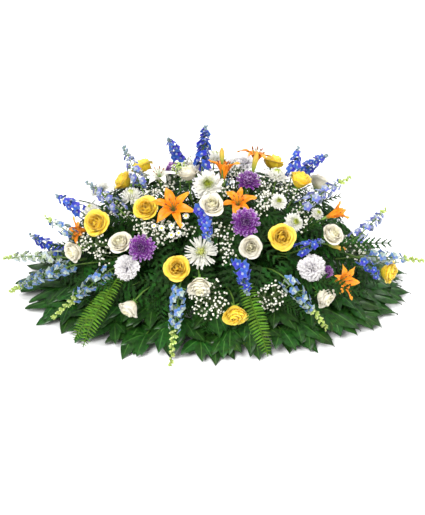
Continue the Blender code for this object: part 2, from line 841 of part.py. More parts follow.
def add_heads(spray, nodes, make, white, coloured, behind):
    for owner, members in nodes.items():
        finish = white if owner.startswith("white") else coloured
        for column, row, radius, faces, reach, openness in members:
            middle = place(column, row, reach)
            direction = facing(faces, middle)
            if behind:
                middle, direction = turned_behind(middle), turned_behind(direction)
            roll = spray.random.uniform(0, 2 * math.pi)
            shapes, back = make(middle, direction, radius * MM, openness, roll)
            for shape in shapes:
                met = spray.standing.met_by(owner, shape)
                if met:
                    print("head of", owner, "at", column, row, "meets", sorted(met))
                spray.grow(owner, shape, finish if shape is shapes[0] else "anther")
            spray.end(owner, -direction, middle - direction * back)


def add_buds(spray):
    for owner, members in LILY_BUDS.items():
        for column, row, length, faces, reach in members:
            middle = place(column, row, reach)
            direction = facing(faces, middle)
            shape = bud(middle, direction, length * MM)
            met = spray.standing.met_by(owner, shape)
            if met:
                print("bud of", owner, "meets", sorted(met))
            spray.grow(owner, shape, ("green_bud", "orange_lily", 0.4))
            spray.end(owner, -direction, middle - direction * (0.4 * length * MM))


def spike_path(low, tip, behind):
    """The curve of a flower spike, from its lowest floret to its tip, bowed away from the mound."""
    start, end = place(*low), place(*tip)
    if behind:
        start, end = turned_behind(start), turned_behind(end)
    middle = start.lerp(end, 0.5)
    bow = straight_out(middle) * (0.06 * (end - start).length)
    return [start, middle + bow, end]


def end_spikes(spray, nodes, behind):
    for owner, members in nodes.items():
        for low, tip, _wide in members:
            path = spike_path(low, tip, behind)
            spray.end(owner, (path[0] - path[1]).normalized(), path[0])


def end_fronds(spray, nodes, path_of, behind):
    for owner, members in nodes.items():
        for member in members:
            path = path_of(member, behind)
            spray.end(owner, (path[0] - path[1]).normalized(), path[0])


def end_babys_breath(spray, nodes, behind):
    for owner, members in nodes.items():
        for column, row, spread, reach in members:
            front = place(column, row, reach)
            out = straight_out(front)
            foot = front - out * (0.7 * spread * MM)
            if behind:
                foot, out = turned_behind(foot), turned_behind(out)
            spray.end(owner, -out, foot)


def add_trunks(spray):
    """The trunk of each node, from the side that its blooms stand on."""
    for owner, ends in spray.ends.items():
        target = sum((foot + back * KNEE for back, foot in ends), Vector()) / len(ends)
        root = trunk_for(owner, target, list(spray.roots.values()), spray.standing)
        spray.standing.add(owner, [rod(root, TRUNK_RADIUS)])
        spray.roots[owner] = root


def stem_to(spray, owner, foot, back, radius):
    """A stem from the node's trunk to a foot: straight where it can be, else with one knee."""
    path = [fork(spray, owner), foot]
    leaning = (path[0] - foot).normalized().dot(back) < 0.45
    if leaning or spray.standing.met_by(owner, rod(path, radius)):
        path = [path[0], foot + back * KNEE, foot]
        path = bent_clear(owner, path, [1], radius, spray.standing)
    grow_stem(spray, owner, path, radius)


def fork(spray, owner):
    """Where a stem leaves its node's first one: at the top of the trunk, then further on."""
    low, high = spray.roots[owner]
    start = high - (high - low).normalized() * (4 * MM)
    if owner not in spray.first_stems:
        return start
    path, branches = spray.first_stems[owner]
    span = path[2] - path[1]
    return path[1] + span * min(FORK_SPACING * branches / span.length, 0.6)


def grow_stem(spray, owner, path, radius):
    """A stem along a path. The first of a node carries the trunk in the foam as its lower end."""
    radii = [radius] * len(path)
    if owner not in spray.first_stems:
        path = [*spray.roots[owner], *path[1:]]
        radii = [TRUNK_RADIUS, TRUNK_RADIUS, *radii[1:]]
        spray.first_stems[owner] = (path, 0)
    else:
        first, branches = spray.first_stems[owner]
        spray.first_stems[owner] = (first, branches + 1)
        radii[0] = 0.45 * radius
    spray.grow(owner, tube(path, radii), "stem")


def add_head_stems(spray, owners):
    for owner in owners:
        for back, foot in spray.ends[owner]:
            stem_to(spray, owner, foot, back, STEM_RADIUS)


def add_spikes(spray, nodes, finish, behind=False):
    """Each spike of florets on its stem."""
    for owner, members in nodes.items():
        for low, tip, wide in members:
            path = spike_path(low, tip, behind)
            shape = fitted(spray.standing, owner, spike_body(path, wide * MM))
            if shape is None:
                print("spike of", owner, "at", low, "has no room")
                continue
            spray.grow(owner, shape, finish)
            back = (path[0] - path[1]).normalized()
            stem_to(spray, owner, path[0], back, STEM_RADIUS)


def add_babys_breath(spray, nodes):
    for owner, members in nodes.items():
        for (column, row, spread, _reach), (back, foot) in zip(members, spray.ends[owner]):
            shape = fitted(spray.standing, owner, tuft(foot, -back, spread * MM))
            if shape is None:
                print("tuft of", owner, "at", column, row, "has no room")
                continue
            spray.grow(owner, shape, "white_petal")
            stem_to(spray, owner, foot, back, BREATH_STEM_RADIUS)


def arched(start, end, rise):
    """Three points of an arch, raised straight out of the mound by a share of its length."""
    out = (straight_out(start) + straight_out(end)).normalized()
    length = (end - start).length
    return [start.lerp(end, s) + out * (rise * length * 4 * s * (1 - s)) for s in (0, 0.5, 1)]


def sword_fern_path(member, behind):
    low, tip, _half_width = member
    return arched(place(*low), place(*tip), 0.14)


def leatherleaf_path(member, behind):
    tip = place(*member[0])
    tip = turned_behind(tip) if behind else tip
    return arched(FROND_ROOT.lerp(tip, FROND_BARE_SHARE), tip, 0.08)


def curve_points(path, count):
    """Evenly spaced points on the parabola through three points."""
    a, b, c = path
    control = b * 2 - (a + c) / 2
    points = []
    for i in range(count + 1):
        s = i / count
        points.append(a * (1 - s) ** 2 + control * (2 * s * (1 - s)) + c * s**2)
    return points


def frond(spray, owner, spine, up, half_width, shape_of, lean):
    """A rib with a row of pointed leaflets on each side, in one closed outline."""
    count = len(spine) - 1
    points, faces = [], []
    half, deep = FROND_RIB
    sides = []
    for i, point in enumerate(spine[:-1]):
        ahead = (spine[i + 1] - spine[max(i - 1, 0)]).normalized()
        side = ahead.cross(up).normalized()
        lift = side.cross(ahead)
        sides.append((side, ahead, lift))
        slim = 1 - 0.6 * i / count
        for a, b in ((-1, 1), (1, 1), (1, -1), (-1, -1)):
            points.append(point + side * (a * half * slim) + lift * (b * deep * slim))
    end = len(points)
    points.append(spine[-1])
    faces.append((0, 1, 2, 3))
    for j in range(4):
        base = 4 * (count - 1)
        faces.append((base + j, end, base + (j + 1) % 4))
    for i in range(count - 1):
        a = 4 * i
        faces.append((a, a + 4, a + 5, a + 1))
        faces.append((a + 2, a + 6, a + 7, a + 3))
        side, ahead, lift = sides[i]
        reach = half_width * shape_of((i + 0.5) / count)
        for hand, quad in ((1, (a + 1, a + 5, a + 6, a + 2)), (-1, (a + 3, a + 7, a + 4, a))):
            middle = sum((points[k] for k in quad), Vector()) / 4
            way = (side * hand + ahead * lean - lift * 0.18).normalized()
            for share in (1.0, 0.8, 0.6, 0.4, 0):
                tip = middle + way * (reach * share)
                leaflet = outward(
                    [points[k] for k in quad] + [tip],
                    [(3, 2, 1, 0), (0, 1, 4), (1, 2, 4), (2, 3, 4), (3, 0, 4)],
                )
                if share == 0 or not spray.standing.met_by(owner, leaflet):
                    break
            if i == 0 or share == 0:
                faces.append(quad)
                continue
            points.append(tip)
            faces += [(quad[k], quad[(k + 1) % 4], len(points) - 1) for k in range(4)]
    return outward(points, faces)


def sword_shape(s):
    return math.sin(math.pi * min(1.0, 0.22 + 0.78 * s)) ** 0.55


def leather_shape(s):
    return 1.06 - 0.92 * s


def add_fronds(spray, nodes, kind, behind):
    finish, path_of, leaflets, shape_of, lean = kind
    for owner, members in nodes.items():
        for member in members:
            path = path_of(member, behind)
            start = fork(spray, owner)
            stem = [start, *path]
            clear = bent_clear(
                owner, stem, [1, 2], FROND_STEM_RADIUS, spray.standing, FROND_STEP, 6
            )
            spine = curve_points(clear[1:], leaflets)
            up = straight_out(clear[2])
            half_width = member[-1] * MM
            leafy = frond(spray, owner, spine, up, half_width, shape_of, lean)
            stalk = [start, spine[0].lerp(spine[1], 0.4)]
            whole = [leafy, rod(stalk, FROND_STEM_RADIUS)]
            met = set().union(*(spray.standing.met_by(owner, shape) for shape in whole))
            if met:
                print("frond of", owner, "at", member[0], "meets", sorted(met))
                continue
            spray.grow(owner, leafy, finish)
            grow_stem(spray, owner, stalk, FROND_STEM_RADIUS)


# A kind of frond: its finish, path, pairs of leaflets, their outline and how far they lean
SWORD_FERN = ("sword_fern", sword_fern_path, SWORD_LEAFLETS, sword_shape, 0.1)
LEATHER_FERN = ("leatherleaf", leatherleaf_path, LEATHER_LEAFLETS, leather_shape, 0.55)


# The skirt of palmate leaves


def skirt_height(x, y, lift):
    """The draped surface that a ring of the skirt lies on."""
    share = (x / SKIRT_EDGE[0]) ** 2 + (y / SKIRT_EDGE[1]) ** 2
    drop = max(0.0, min(1.3, (1 - share) / 0.75))
    return SKIRT_TIP_HEIGHT + SKIRT_RISE * drop + lift


def palmate_leaf(hub, way, length, lift, root):
    """Pointed lobes round a hub, draped on the skirt's surface, and the leaf stalk to its root."""
    heading = math.atan2(way.y, way.x)
    half_gap = math.radians((LOBE_ANGLES[1] - LOBE_ANGLES[0]) / 2)

    def at(angle, reach, off):
        x = hub.x + reach * math.cos(angle)
        y = hub.y + reach * math.sin(angle)
        return Vector((x, y, skirt_height(x, y, lift) + off))

    rib, edge = LEAF_RIB, -LEAF_DROOP
    points = [at(0, 0, rib), at(0, 0, -rib)]
    faces = []
    for degrees, share in zip(LOBE_ANGLES, LOBE_SHARES):
        angle = heading + math.radians(degrees)
        long = length * share
        reach = 0.56 * long
        half = LOBE_WIDTH / 2 * (0.6 + 0.4 * share)
        spread, span = math.atan2(half, reach), math.hypot(reach, half)
        if degrees == LOBE_ANGLES[0]:
            points.append(at(angle - half_gap, STALK_RADIUS, 0))
        notch = STALK_RADIUS if degrees == LOBE_ANGLES[-1] else 0.26 * long
        before = len(points) - 1
        points += [
            at(angle - spread, span, edge),
            at(angle + spread, span, edge),
            at(angle, reach, rib),
            at(angle, reach, -rib),
            at(angle, long, edge),
            at(angle + half_gap, notch, edge if notch > STALK_RADIUS else 0),
        ]
        left, right, top, under, tip, after = range(before + 1, before + 7)
        for middle, centre in ((top, 0), (under, 1)):
            ring = [
                (centre, before, middle),
                (before, left, middle),
                (left, tip, middle),
                (tip, right, middle),
                (right, after, middle),
                (after, centre, middle),
            ]
            faces += ring if middle == top else [f[::-1] for f in ring]
    ahead = (hub - root).normalized()
    left = Vector((0, 0, 1)).cross(ahead).normalized()
    above = ahead.cross(left)
    mouth = (0, after, 1, 2)
    end = len(points)
    points += [root + way_out * (0.5 * STALK_RADIUS) for way_out in (above, left, -above, -left)]
    for i in range(4):
        k = (i + 1) % 4
        faces.append((mouth[i], mouth[k], end + k, end + i))
    faces.append((end, end + 1, end + 2, end + 3))
    return outward(points, faces)


def skirt_leaves():
    """Each leaf as (hub, the way it points, length of its middle lobe, lift)."""
    found = []
    for turn, (count, hubs, tips, lift) in zip(RING_TURNS, SKIRT_RINGS):
        evened = (hubs[0] - hubs[1]) / (hubs[0] + hubs[1]) / 2
        for i in range(count):
            angle = 2 * math.pi * (i + turn) / count
            angle += evened * math.sin(2 * angle)
            x, y = hubs[0] * math.cos(angle), hubs[1] * math.sin(angle)
            hub = Vector((x, y, skirt_height(x, y, lift)))
            tip = Vector((tips[0] * math.cos(angle), tips[1] * math.sin(angle), hub.z))
            way = tip - hub
            found.append((hub, way.normalized(), way.length, lift))
    return found


def quarter(hub):
    return ("front" if hub.y < 0 else "rear") + ("_left" if hub.x < 0 else "_right")


def add_skirt(spray):
    """Four leafy stems, each with the leaves of its quarter of the skirt."""
    leaves = {}
    for leaf in skirt_leaves():
        leaves.setdefault("skirt_leaves_" + quarter(leaf[0]), []).append(leaf)
    for owner, members in leaves.items():
        middle = sum((leaf[0] for leaf in members), Vector()) / len(members)
        target = Vector((0.8 * middle.x, 0.8 * middle.y, SKIRT_STEM_HEIGHT))
        low, high = trunk_for(owner, target, list(spray.roots.values()), spray.standing)
        spray.roots[owner] = (low, high)
        tip = high + (high - low).normalized() * SKIRT_STEM_LENGTH
        spray.grow(owner, tube([low, tip], (TRUNK_RADIUS, 0.7 * TRUNK_RADIUS)), "stem")
        members.sort(key=lambda leaf: (leaf[0] - tip).length, reverse=True)
        for i, (hub, way, length, lift) in enumerate(members):
            root = high.lerp(tip, (i + 0.5) / len(members))
            leaf = palmate_leaf(hub, way, length, lift, root)
            met = spray.standing.met_by(owner, leaf)
            if met:
                print("leaf of", owner, "meets", sorted(met))
            spray.grow(owner, leaf, "skirt_leaf")


# Holder


def rounded_outline(half, corner, height, steps=3):
    points = []
    for quadrant in range(4):
        middle_x = (half[0] - corner) * (1 if quadrant in (0, 3) else -1)
        middle_y = (half[1] - corner) * (1 if quadrant in (0, 1) else -1)
        for i in range(steps + 1):
            angle = math.pi / 2 * (quadrant + i / steps)
            x = middle_x + corner * math.cos(angle)
            y = middle_y + corner * math.sin(angle)
            points.append(Vector((x, y, height)))
    return points


def saddle_tray():
    """A shallow open tray with flared walls and a flat foot."""
    foot = (TRAY_HALF[0] - TRAY_FLARE, TRAY_HALF[1] - TRAY_FLARE)
    inner = (TRAY_HALF[0] - TRAY_WALL, TRAY_HALF[1] - TRAY_WALL)
    inner_foot = (foot[0] - TRAY_WALL, foot[1] - TRAY_WALL)
    corner, small = TRAY_CORNER, TRAY_CORNER - TRAY_FLARE
    loops = [
        rounded_outline(foot, small, 0),
        rounded_outline(TRAY_HALF, corner, TRAY_HEIGHT),
        rounded_outline(inner, corner - TRAY_WALL, TRAY_HEIGHT),
        rounded_outline(inner_foot, small - TRAY_WALL, TRAY_FLOOR),
    ]
    count = len(loops[0])
    points = [p for loop in loops for p in loop]
    faces = [tuple(range(count))[::-1], tuple(range(3 * count, 4 * count))]
    for i in range(3):
        for j in range(count):
            a, b = i * count + j, i * count + (j + 1) % count
            faces.append((a, b, b + count, a + count))
    return outward(points, faces)


def foam_block():
    """The foam, with its upper edges pared away."""
    x, y = FOAM_HALF
    c = FOAM_CHAMFER
    low = TRAY_FLOOR + SEAT_GAP
    corner = 16 * MM
    loops = [
        rounded_outline((x, y), corner, low, 1),
        rounded_outline((x, y), corner, FOAM_TOP - c, 1),
        rounded_outline((x - c, y - c), corner * 0.5, FOAM_TOP, 1),
    ]
    count = len(loops[0])
    points = [p for loop in loops for p in loop]
    faces = [tuple(range(count))[::-1], tuple(range(2 * count, 3 * count))]
    for i in range(2):
        for j in range(count):
            a, b = i * count + j, i * count + (j + 1) % count
            faces.append((a, b, b + count, a + count))
    return outward(points, faces)


# Blender objects


def mesh_object(name, shape, finish, collection):
    """A mesh in one finish, or in two: the second from a share of the way up its rings."""
    points, faces = shape
    mesh = bpy.data.meshes.new(name)
    mesh.from_pydata([tuple(p) for p in points], [], faces)
    low, high, share = (finish, None, 1) if isinstance(finish, str) else finish
    mesh.materials.append(leaf_material(low))
    if high:
        mesh.materials.append(leaf_material(high))
        for polygon in mesh.polygons:
            polygon.material_index = int(min(polygon.vertices) >= share * len(points))
    made = bpy.data.objects.new(name, mesh)
    collection.objects.link(made)
    return made


def clean(mesh):
    """Drops slivers, and the walls of any sealed pocket left between shapes joined in one body."""
    bm = bmesh.new()
    bm.from_mesh(mesh)
    bmesh.ops.dissolve_degenerate(bm, dist=SLIVER, edges=bm.edges)
    bmesh.ops.triangulate(bm, faces=bm.faces, quad_method="BEAUTY", ngon_method="BEAUTY")
    unseen = set(bm.faces)
    shells = []
    while unseen:
        shell, edge_on = set(), [unseen.pop()]
        while edge_on:
            face = edge_on.pop()
            shell.add(face)
            found = {near for edge in face.edges for near in edge.link_faces} & unseen
            unseen -= found
            edge_on += found
        shells.append(shell)
    shells.sort(key=len)
    walls = [face for shell in shells[:-1] for face in shell]
    bmesh.ops.delete(bm, geom=walls, context="FACES")
    bm.to_mesh(mesh)
    bm.free()


def joined(name, shapes, operation):
    """One object from a body and the shapes that a Boolean adds to it or cuts from it."""
    scene = bpy.context.scene.collection
    body = mesh_object(name, *shapes[0], scene)
    if len(shapes) > 1:
        repeats = bpy.data.collections.new(name + "_repeats")
        scene.children.link(repeats)
        for i, shape in enumerate(shapes[1:]):
            mesh_object(f"{name}_repeat_{i}", *shape, repeats)
        step = body.modifiers.new("joined", "BOOLEAN")
        step.operation = operation
        step.solver = "MANIFOLD"
        step.operand_type = "COLLECTION"
        step.collection = repeats
        step.material_mode = "TRANSFER"
        graph = bpy.context.evaluated_depsgraph_get()
        result = bpy.data.meshes.new_from_object(body.evaluated_get(graph))
        body.modifiers.clear()
        body.data = result
        clean(result)
        for item in list(repeats.objects):
            bpy.data.objects.remove(item)
        bpy.data.collections.remove(repeats)
    body.data.name = name
    return body


HEART = ("white_petal", "green_heart", 0.72)
HEADS = (
    (ROSES, ROSES_BEHIND, rose, "white_petal", "yellow_rose"),
    (CARNATIONS, CARNATIONS_BEHIND, carnation, "white_petal", None),
    (WHITE_MUMS, WHITE_MUMS_BEHIND, mum, HEART, None),
    (PURPLE_MUMS, PURPLE_MUMS_BEHIND, mum, None, "purple_mum"),
    (LILIES, LILIES_BEHIND, lily, "white_petal", "orange_lily"),
)
PALE_FINISH = ("pale_floret", "green_bud", 0.6)
SPIKES = (
    (PALE_SPIKES, PALE_FINISH, False),
    (PALE_SPIKES_BEHIND, PALE_FINISH, True),
    (BLUE_SPIKES, "blue_floret", False),
    (BLUE_SPIKES_BEHIND, "blue_floret", True),
)


def main():
    clear_scene()
    spray = Spray()
    spray.grow("saddle_tray", saddle_tray(), "tray")
    spray.grow("floral_foam", foam_block(), "foam")
    add_skirt(spray)
    for nodes, _, make, white, coloured in HEADS:
        add_heads(spray, nodes, make, white, coloured, False)
    add_buds(spray)
    for _, nodes, make, white, coloured in HEADS:
        add_heads(spray, nodes, make, white, coloured, True)
    headed = list(spray.ends)
    for nodes, _, behind in SPIKES:
        end_spikes(spray, nodes, behind)
    end_fronds(spray, SWORD_FERNS, sword_fern_path, False)
    end_fronds(spray, LEATHERLEAF, leatherleaf_path, False)
    end_fronds(spray, LEATHERLEAF_BEHIND, leatherleaf_path, True)
    end_babys_breath(spray, BABYS_BREATH, False)
    end_babys_breath(spray, BABYS_BREATH_BEHIND, True)
    add_trunks(spray)
    add_head_stems(spray, headed)
    add_fronds(spray, SWORD_FERNS, SWORD_FERN, False)
    for nodes, finish, behind in SPIKES:
        add_spikes(spray, nodes, finish, behind)
    add_babys_breath(spray, BABYS_BREATH)
    add_babys_breath(spray, BABYS_BREATH_BEHIND)
    for nodes, behind in ((LEATHERLEAF, False), (LEATHERLEAF_BEHIND, True)):
        add_fronds(spray, nodes, LEATHER_FERN, behind)
    holes = []
    for low, high in spray.roots.values():
        below = low - (high - low).normalized() * MM
        holes.append((tube([below, high], (HOLE_RADIUS, HOLE_RADIUS)), "foam"))
    total = 0
    for owner, shapes in spray.shapes.items():
        if owner == "floral_foam":
            made = joined(owner, shapes + holes, "DIFFERENCE")
        else:
            made = joined(owner, shapes, "UNION")
        count = sum(len(p.vertices) - 2 for p in made.data.polygons)
        total += count
        print(f"{count} triangles in {owner}, from {len(shapes)} shapes")
    print(len(spray.shapes), "nodes,", total, "triangles")


if __name__ == "__main__":
    main()
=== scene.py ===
# %% [markdown]
# # A casket spray, flower by flower
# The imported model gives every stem, bloom and leaf its place. This script keeps those places
# and grows the finished petals, leaflets and veins there. Lengths are in metres.

# %% The fixed frame
import json
import math
import random

import bpy
import numpy as np
from mathutils import Matrix, Vector

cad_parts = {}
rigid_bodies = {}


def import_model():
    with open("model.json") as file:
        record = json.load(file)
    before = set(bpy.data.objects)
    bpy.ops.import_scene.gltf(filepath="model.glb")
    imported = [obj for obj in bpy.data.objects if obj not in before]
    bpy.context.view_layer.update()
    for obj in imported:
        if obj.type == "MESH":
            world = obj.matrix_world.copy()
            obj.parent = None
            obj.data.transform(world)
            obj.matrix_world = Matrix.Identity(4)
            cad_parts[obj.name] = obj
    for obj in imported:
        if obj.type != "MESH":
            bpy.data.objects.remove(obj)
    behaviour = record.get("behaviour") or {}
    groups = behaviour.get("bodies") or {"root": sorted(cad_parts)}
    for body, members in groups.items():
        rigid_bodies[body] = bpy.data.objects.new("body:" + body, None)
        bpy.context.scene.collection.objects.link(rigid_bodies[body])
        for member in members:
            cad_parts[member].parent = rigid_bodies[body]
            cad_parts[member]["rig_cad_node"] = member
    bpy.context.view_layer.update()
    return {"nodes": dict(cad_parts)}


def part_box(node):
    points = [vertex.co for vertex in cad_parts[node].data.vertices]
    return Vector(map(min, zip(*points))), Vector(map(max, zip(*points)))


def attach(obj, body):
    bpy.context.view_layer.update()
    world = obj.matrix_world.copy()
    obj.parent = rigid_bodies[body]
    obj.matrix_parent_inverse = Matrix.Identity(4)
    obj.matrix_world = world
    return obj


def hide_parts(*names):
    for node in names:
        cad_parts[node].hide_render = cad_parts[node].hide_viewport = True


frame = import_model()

MM = 0.001
GOLDEN = math.pi * (3 - math.sqrt(5))
draw = random.Random(7)

# %% [markdown]
# ## Camera
# The picture was taken from the front and about 30 degrees above the table. One picture
# pixel is 2.3 mm at the spray, so a lens of 91 mm at 3 m gives the same frame.

# %% The camera, and lines of sight through the picture
FRAME_SIZE = (425, 515)
FRAME_MIDDLE = (212.5, 257.5)
PIXEL = 2.3 * MM
VIEW_DISTANCE = 3.0
VIEW_ELEVATION = math.radians(30)
VIEW_AIM = Vector((-3.5 * MM, 0, 73 * MM))
RIGHT = Vector((1, 0, 0))
UP = Vector((0, math.sin(VIEW_ELEVATION), math.cos(VIEW_ELEVATION)))
TOWARD = Vector((0, -math.cos(VIEW_ELEVATION), math.sin(VIEW_ELEVATION)))
EYE = VIEW_AIM + TOWARD * VIEW_DISTANCE
SENSOR = 36

lens = bpy.data.cameras.new("camera")
lens.sensor_width = SENSOR
lens.lens = SENSOR * VIEW_DISTANCE / (FRAME_SIZE[1] * PIXEL)
camera = bpy.data.objects.new("camera", lens)
camera.matrix_world = Matrix.Translation(EYE) @ Matrix((RIGHT, UP, TOWARD)).transposed().to_4x4()
bpy.context.scene.collection.objects.link(camera)
bpy.context.scene.camera = camera
bpy.context.scene.view_settings.view_transform = "Standard"
print("lens", round(lens.lens, 1), "mm")

# %% [markdown]
# ## Mound
# A spray is built as a low oval mound. Each bloom is placed by a picture column and row, and
# its line of sight is followed to an ellipsoid that its reach makes larger or smaller. What
# stands behind takes its place from the front, turned half round.

# %% Places on the mound
MOUND = Vector((420, 270, 265)) * MM
MOUND_MIDDLE = Vector((0, 0, 30)) * MM


def sight(column, row):
    across = (column - FRAME_MIDDLE[0]) * PIXEL
    rise = (FRAME_MIDDLE[1] - row) * PIXEL
    return (RIGHT * across + UP * rise - TOWARD * VIEW_DISTANCE).normalized()


def place(column, row, reach):
    """On the mound swollen by reach, or at a height of -reach mm above the table."""
    way = sight(column, row)
    if reach <= 0:
        return EYE + way * ((-reach * MM - EYE.z) / way.z)
    start = Vector((EYE - MOUND_MIDDLE)[i] / (MOUND[i] * reach) for i in range(3))
    step = Vector(way[i] / (MOUND[i] * reach) for i in range(3))
    half = start.dot(step)
    inner = half * half - step.length_squared * (start.length_squared - 1)
    return EYE + way * ((-half - math.sqrt(max(inner, 0))) / step.length_squared)


def straight_out(point):
    return Vector((point - MOUND_MIDDLE)[i] / MOUND[i] ** 2 for i in range(3)).normalized()


def facing(faces, point):
    if faces is None:
        return straight_out(point)
    right, up, toward = faces
    return (RIGHT * right + UP * up + TOWARD * toward).normalized()


def turned_behind(vector):
    return Vector((-vector.x, -vector.y, vector.z))


print("mound", [round(2000 * half) for half in MOUND], "mm across")

# %% [markdown]
# ## Floor and light
# The picture has a white ground and one soft shadow close under the leaves. A pale floor, an
# even white sky and two broad lamps give that, and the lamps put the gloss on the leaves.

# %% Colour and node helpers


def linear(code):
    """An sRGB hex value as the linear colour that a shader takes."""
    parts = [int(code[i : i + 2], 16) / 255 for i in (1, 3, 5)]
    return (*(p / 12.92 if p <= 0.04045 else ((p + 0.055) / 1.055) ** 2.4 for p in parts), 1.0)


def add(tree, kind, wires=None, **settings):
    """Adds a node with its settings and inputs, and returns its first output in use."""
    node = tree.nodes.new(kind)
    for name, value in settings.items():
        setattr(node, name, value)
    inputs = [socket for socket in node.inputs if socket.enabled]
    for key, value in (wires or {}).items():
        found = inputs[key] if isinstance(key, int) else next(s for s in inputs if s.name == key)
        if isinstance(value, bpy.types.NodeSocket):
            tree.links.new(value, found)
        else:
            found.default_value = value
    return next((socket for socket in node.outputs if socket.enabled), node)


def calc(tree, operation, *values):
    """A maths node on one, two or three values."""
    return add(tree, "ShaderNodeMath", dict(enumerate(values)), operation=operation)


def mixed(tree, share, first, second):
    """Two colours mixed by a share."""
    return add(tree, "ShaderNodeMix", {"Factor": share, "A": first, "B": second},
               data_type="RGBA")


def ranged(tree, value, start=(0.0, 1.0), end=(0.0, 1.0), smooth=False):
    """A value carried from one range to another and held within it."""
    return add(tree, "ShaderNodeMapRange", {
        "Value": value, "From Min": start[0], "From Max": start[1], "To Min": end[0],
        "To Max": end[1]}, interpolation_type="SMOOTHSTEP" if smooth else "LINEAR")


def finish(name, **values):
    """A new material, its tree and its shader, with the constants that are given."""
    material = bpy.data.materials.new(name)
    material.use_nodes = True
    shader = material.node_tree.nodes["Principled BSDF"]
    for label, value in values.items():
        shader.inputs[label.replace("_", " ")].default_value = value
    return material, material.node_tree, shader


# %% Floor, sky and lamps
FLOOR_HALF = 6.0
KEY = ((-1.0, -2.2, 2.4), 1.7, 140)  # where it hangs, its width in metres and its watts
FILL = ((1.8, -0.9, 1.9), 1.8, 56)
BACK = ((0.4, 2.2, 2.2), 1.8, 52)
SKY_STRENGTH = 0.34

floor_mesh = bpy.data.meshes.new("floor")
corners = [(x * FLOOR_HALF, y * FLOOR_HALF, 0) for x, y in ((-1, -1), (1, -1), (1, 1), (-1, 1))]
floor_mesh.from_pydata(corners, [], [(0, 1, 2, 3)])
floor = bpy.data.objects.new("floor", floor_mesh)
bpy.context.scene.collection.objects.link(floor)
# matt white, so that nothing but the soft shadow shows on it
paper = finish("white_paper_ground", Base_Color=linear("#FBFBFB"), Roughness=0.9)[0]
floor_mesh.materials.append(paper)

sky = bpy.data.worlds.new("sky")
sky.use_nodes = True
light = sky.node_tree.nodes["Background"].inputs
light["Color"].default_value = linear("#FFFFFF")
light["Strength"].default_value = SKY_STRENGTH
bpy.context.scene.world = sky
for name, (spot, size, watts) in {"key": KEY, "fill": FILL, "back": BACK}.items():
    lamp = bpy.data.lights.new(name, "AREA")
    lamp.size = size
    lamp.energy = watts
    lit = bpy.data.objects.new(name, lamp)
    lit.location = spot
    lit.rotation_euler = (VIEW_AIM - Vector(spot)).to_track_quat("-Z", "Y").to_euler()
    bpy.context.scene.collection.objects.link(lit)
print("lamps", len(bpy.data.lights))

# %% [markdown]
# ## Petals as blades
# A petal is a thin blade, bent along its length and rolled across it. One function lays
# points along a bent spine and rolls each row into an arc, and closes a back on to the face.
# A blade grows along +Z, its face looks to -X, and its UV says how far across and along.

# %% Blade


def between(shares, values):
    return np.interp(shares, np.linspace(0, 1, len(values)), values)


def mesh_of(name, points, faces, uv=None):
    mesh = bpy.data.meshes.new(name)
    mesh.from_pydata(np.asarray(points).tolist(), [], faces)
    layer = mesh.uv_layers.new(name="UVMap")
    if uv is not None:
        corners = np.empty(len(mesh.loops), int)
        mesh.loops.foreach_get("vertex_index", corners)
        layer.data.foreach_set("uv", np.asarray(uv)[corners].ravel())
    mesh.polygons.foreach_set("use_smooth", [True] * len(mesh.polygons))
    return mesh


def blade(name, length, half, rows, columns, leans, widths, wraps=(0,), thick=0.02,
          rounded=0.0, frill=(0, 0), wave=(0, 0), teeth=0.0):
    """A closed petal or leaf. Leans in degrees from +Z and wraps in radians run foot to tip."""
    u, v = np.meshgrid(np.linspace(-1, 1, columns + 1), np.linspace(0, 1, rows + 1))
    jag = teeth * (np.arange(columns + 1) % 2) * v**3
    along = v * (1 - rounded * u**2) - jag
    fine = np.linspace(0, 1, 81)
    lean = np.radians(between(fine, leans))
    step = length / 80
    spine_x = np.concatenate([[0], np.cumsum(np.sin(lean[1:]) * step)])
    spine_z = np.concatenate([[0], np.cumsum(np.cos(lean[1:]) * step)])
    angle = np.interp(along, fine, lean)
    wide = half * between(v, widths)
    wrap = between(v, wraps)
    wrap = np.where(np.abs(wrap) < 1e-3, 1e-3, wrap)
    side = wide * np.sin(u * wrap) / wrap
    deep = wide * (1 - np.cos(u * wrap)) / wrap
    deep = deep + frill[0] * v**2 * np.sin(frill[1] * math.pi * u)
    deep = deep + wave[0] * u**2 * v * np.sin(wave[1] * 2 * math.pi * v + 1.3 * np.sign(u))
    points = np.stack([
        np.interp(along, fine, spine_x) - np.cos(angle) * deep,
        side,
        np.interp(along, fine, spine_z) + np.sin(angle) * deep,
    ], axis=-1)
    out = np.cross(np.gradient(points, axis=1), np.gradient(points, axis=0))
    norm = np.linalg.norm(out, axis=-1, keepdims=True)
    out = np.where(norm > 1e-12, out / np.maximum(norm, 1e-12), [1.0, 0, 0])
    inner = np.zeros(u.shape, bool)
    inner[1:-1, 1:-1] = True
    face = np.arange(u.size).reshape(u.shape)
    back = face.copy()
    back[inner] = u.size + np.arange(inner.sum())
    shift = np.where(inner[..., None], out * thick / 2, 0)
    verts = np.vstack([(points - shift).reshape(-1, 3), (points + shift)[inner]])
    uv = np.stack([(u + 1) / 2, v], axis=-1)
    uv = np.vstack([uv.reshape(-1, 2), uv[inner]])
    faces = []
    for i in range(rows):
        for j in range(columns):
            quad = ((i, j), (i, j + 1), (i + 1, j + 1), (i + 1, j))
            faces.append([int(face[c]) for c in quad][::-1])
            faces.append([int(back[c]) for c in quad])
    return bpy.data.objects.new(name, mesh_of(name, verts, faces, uv))

# %% [markdown]
# ### Round forms
# A calyx, a bud or a daisy's button is round about its axis, so it is turned from a profile of
# radii and heights, as on a lathe. A scallop draws every second side in, which makes folds.

# %% Turned form


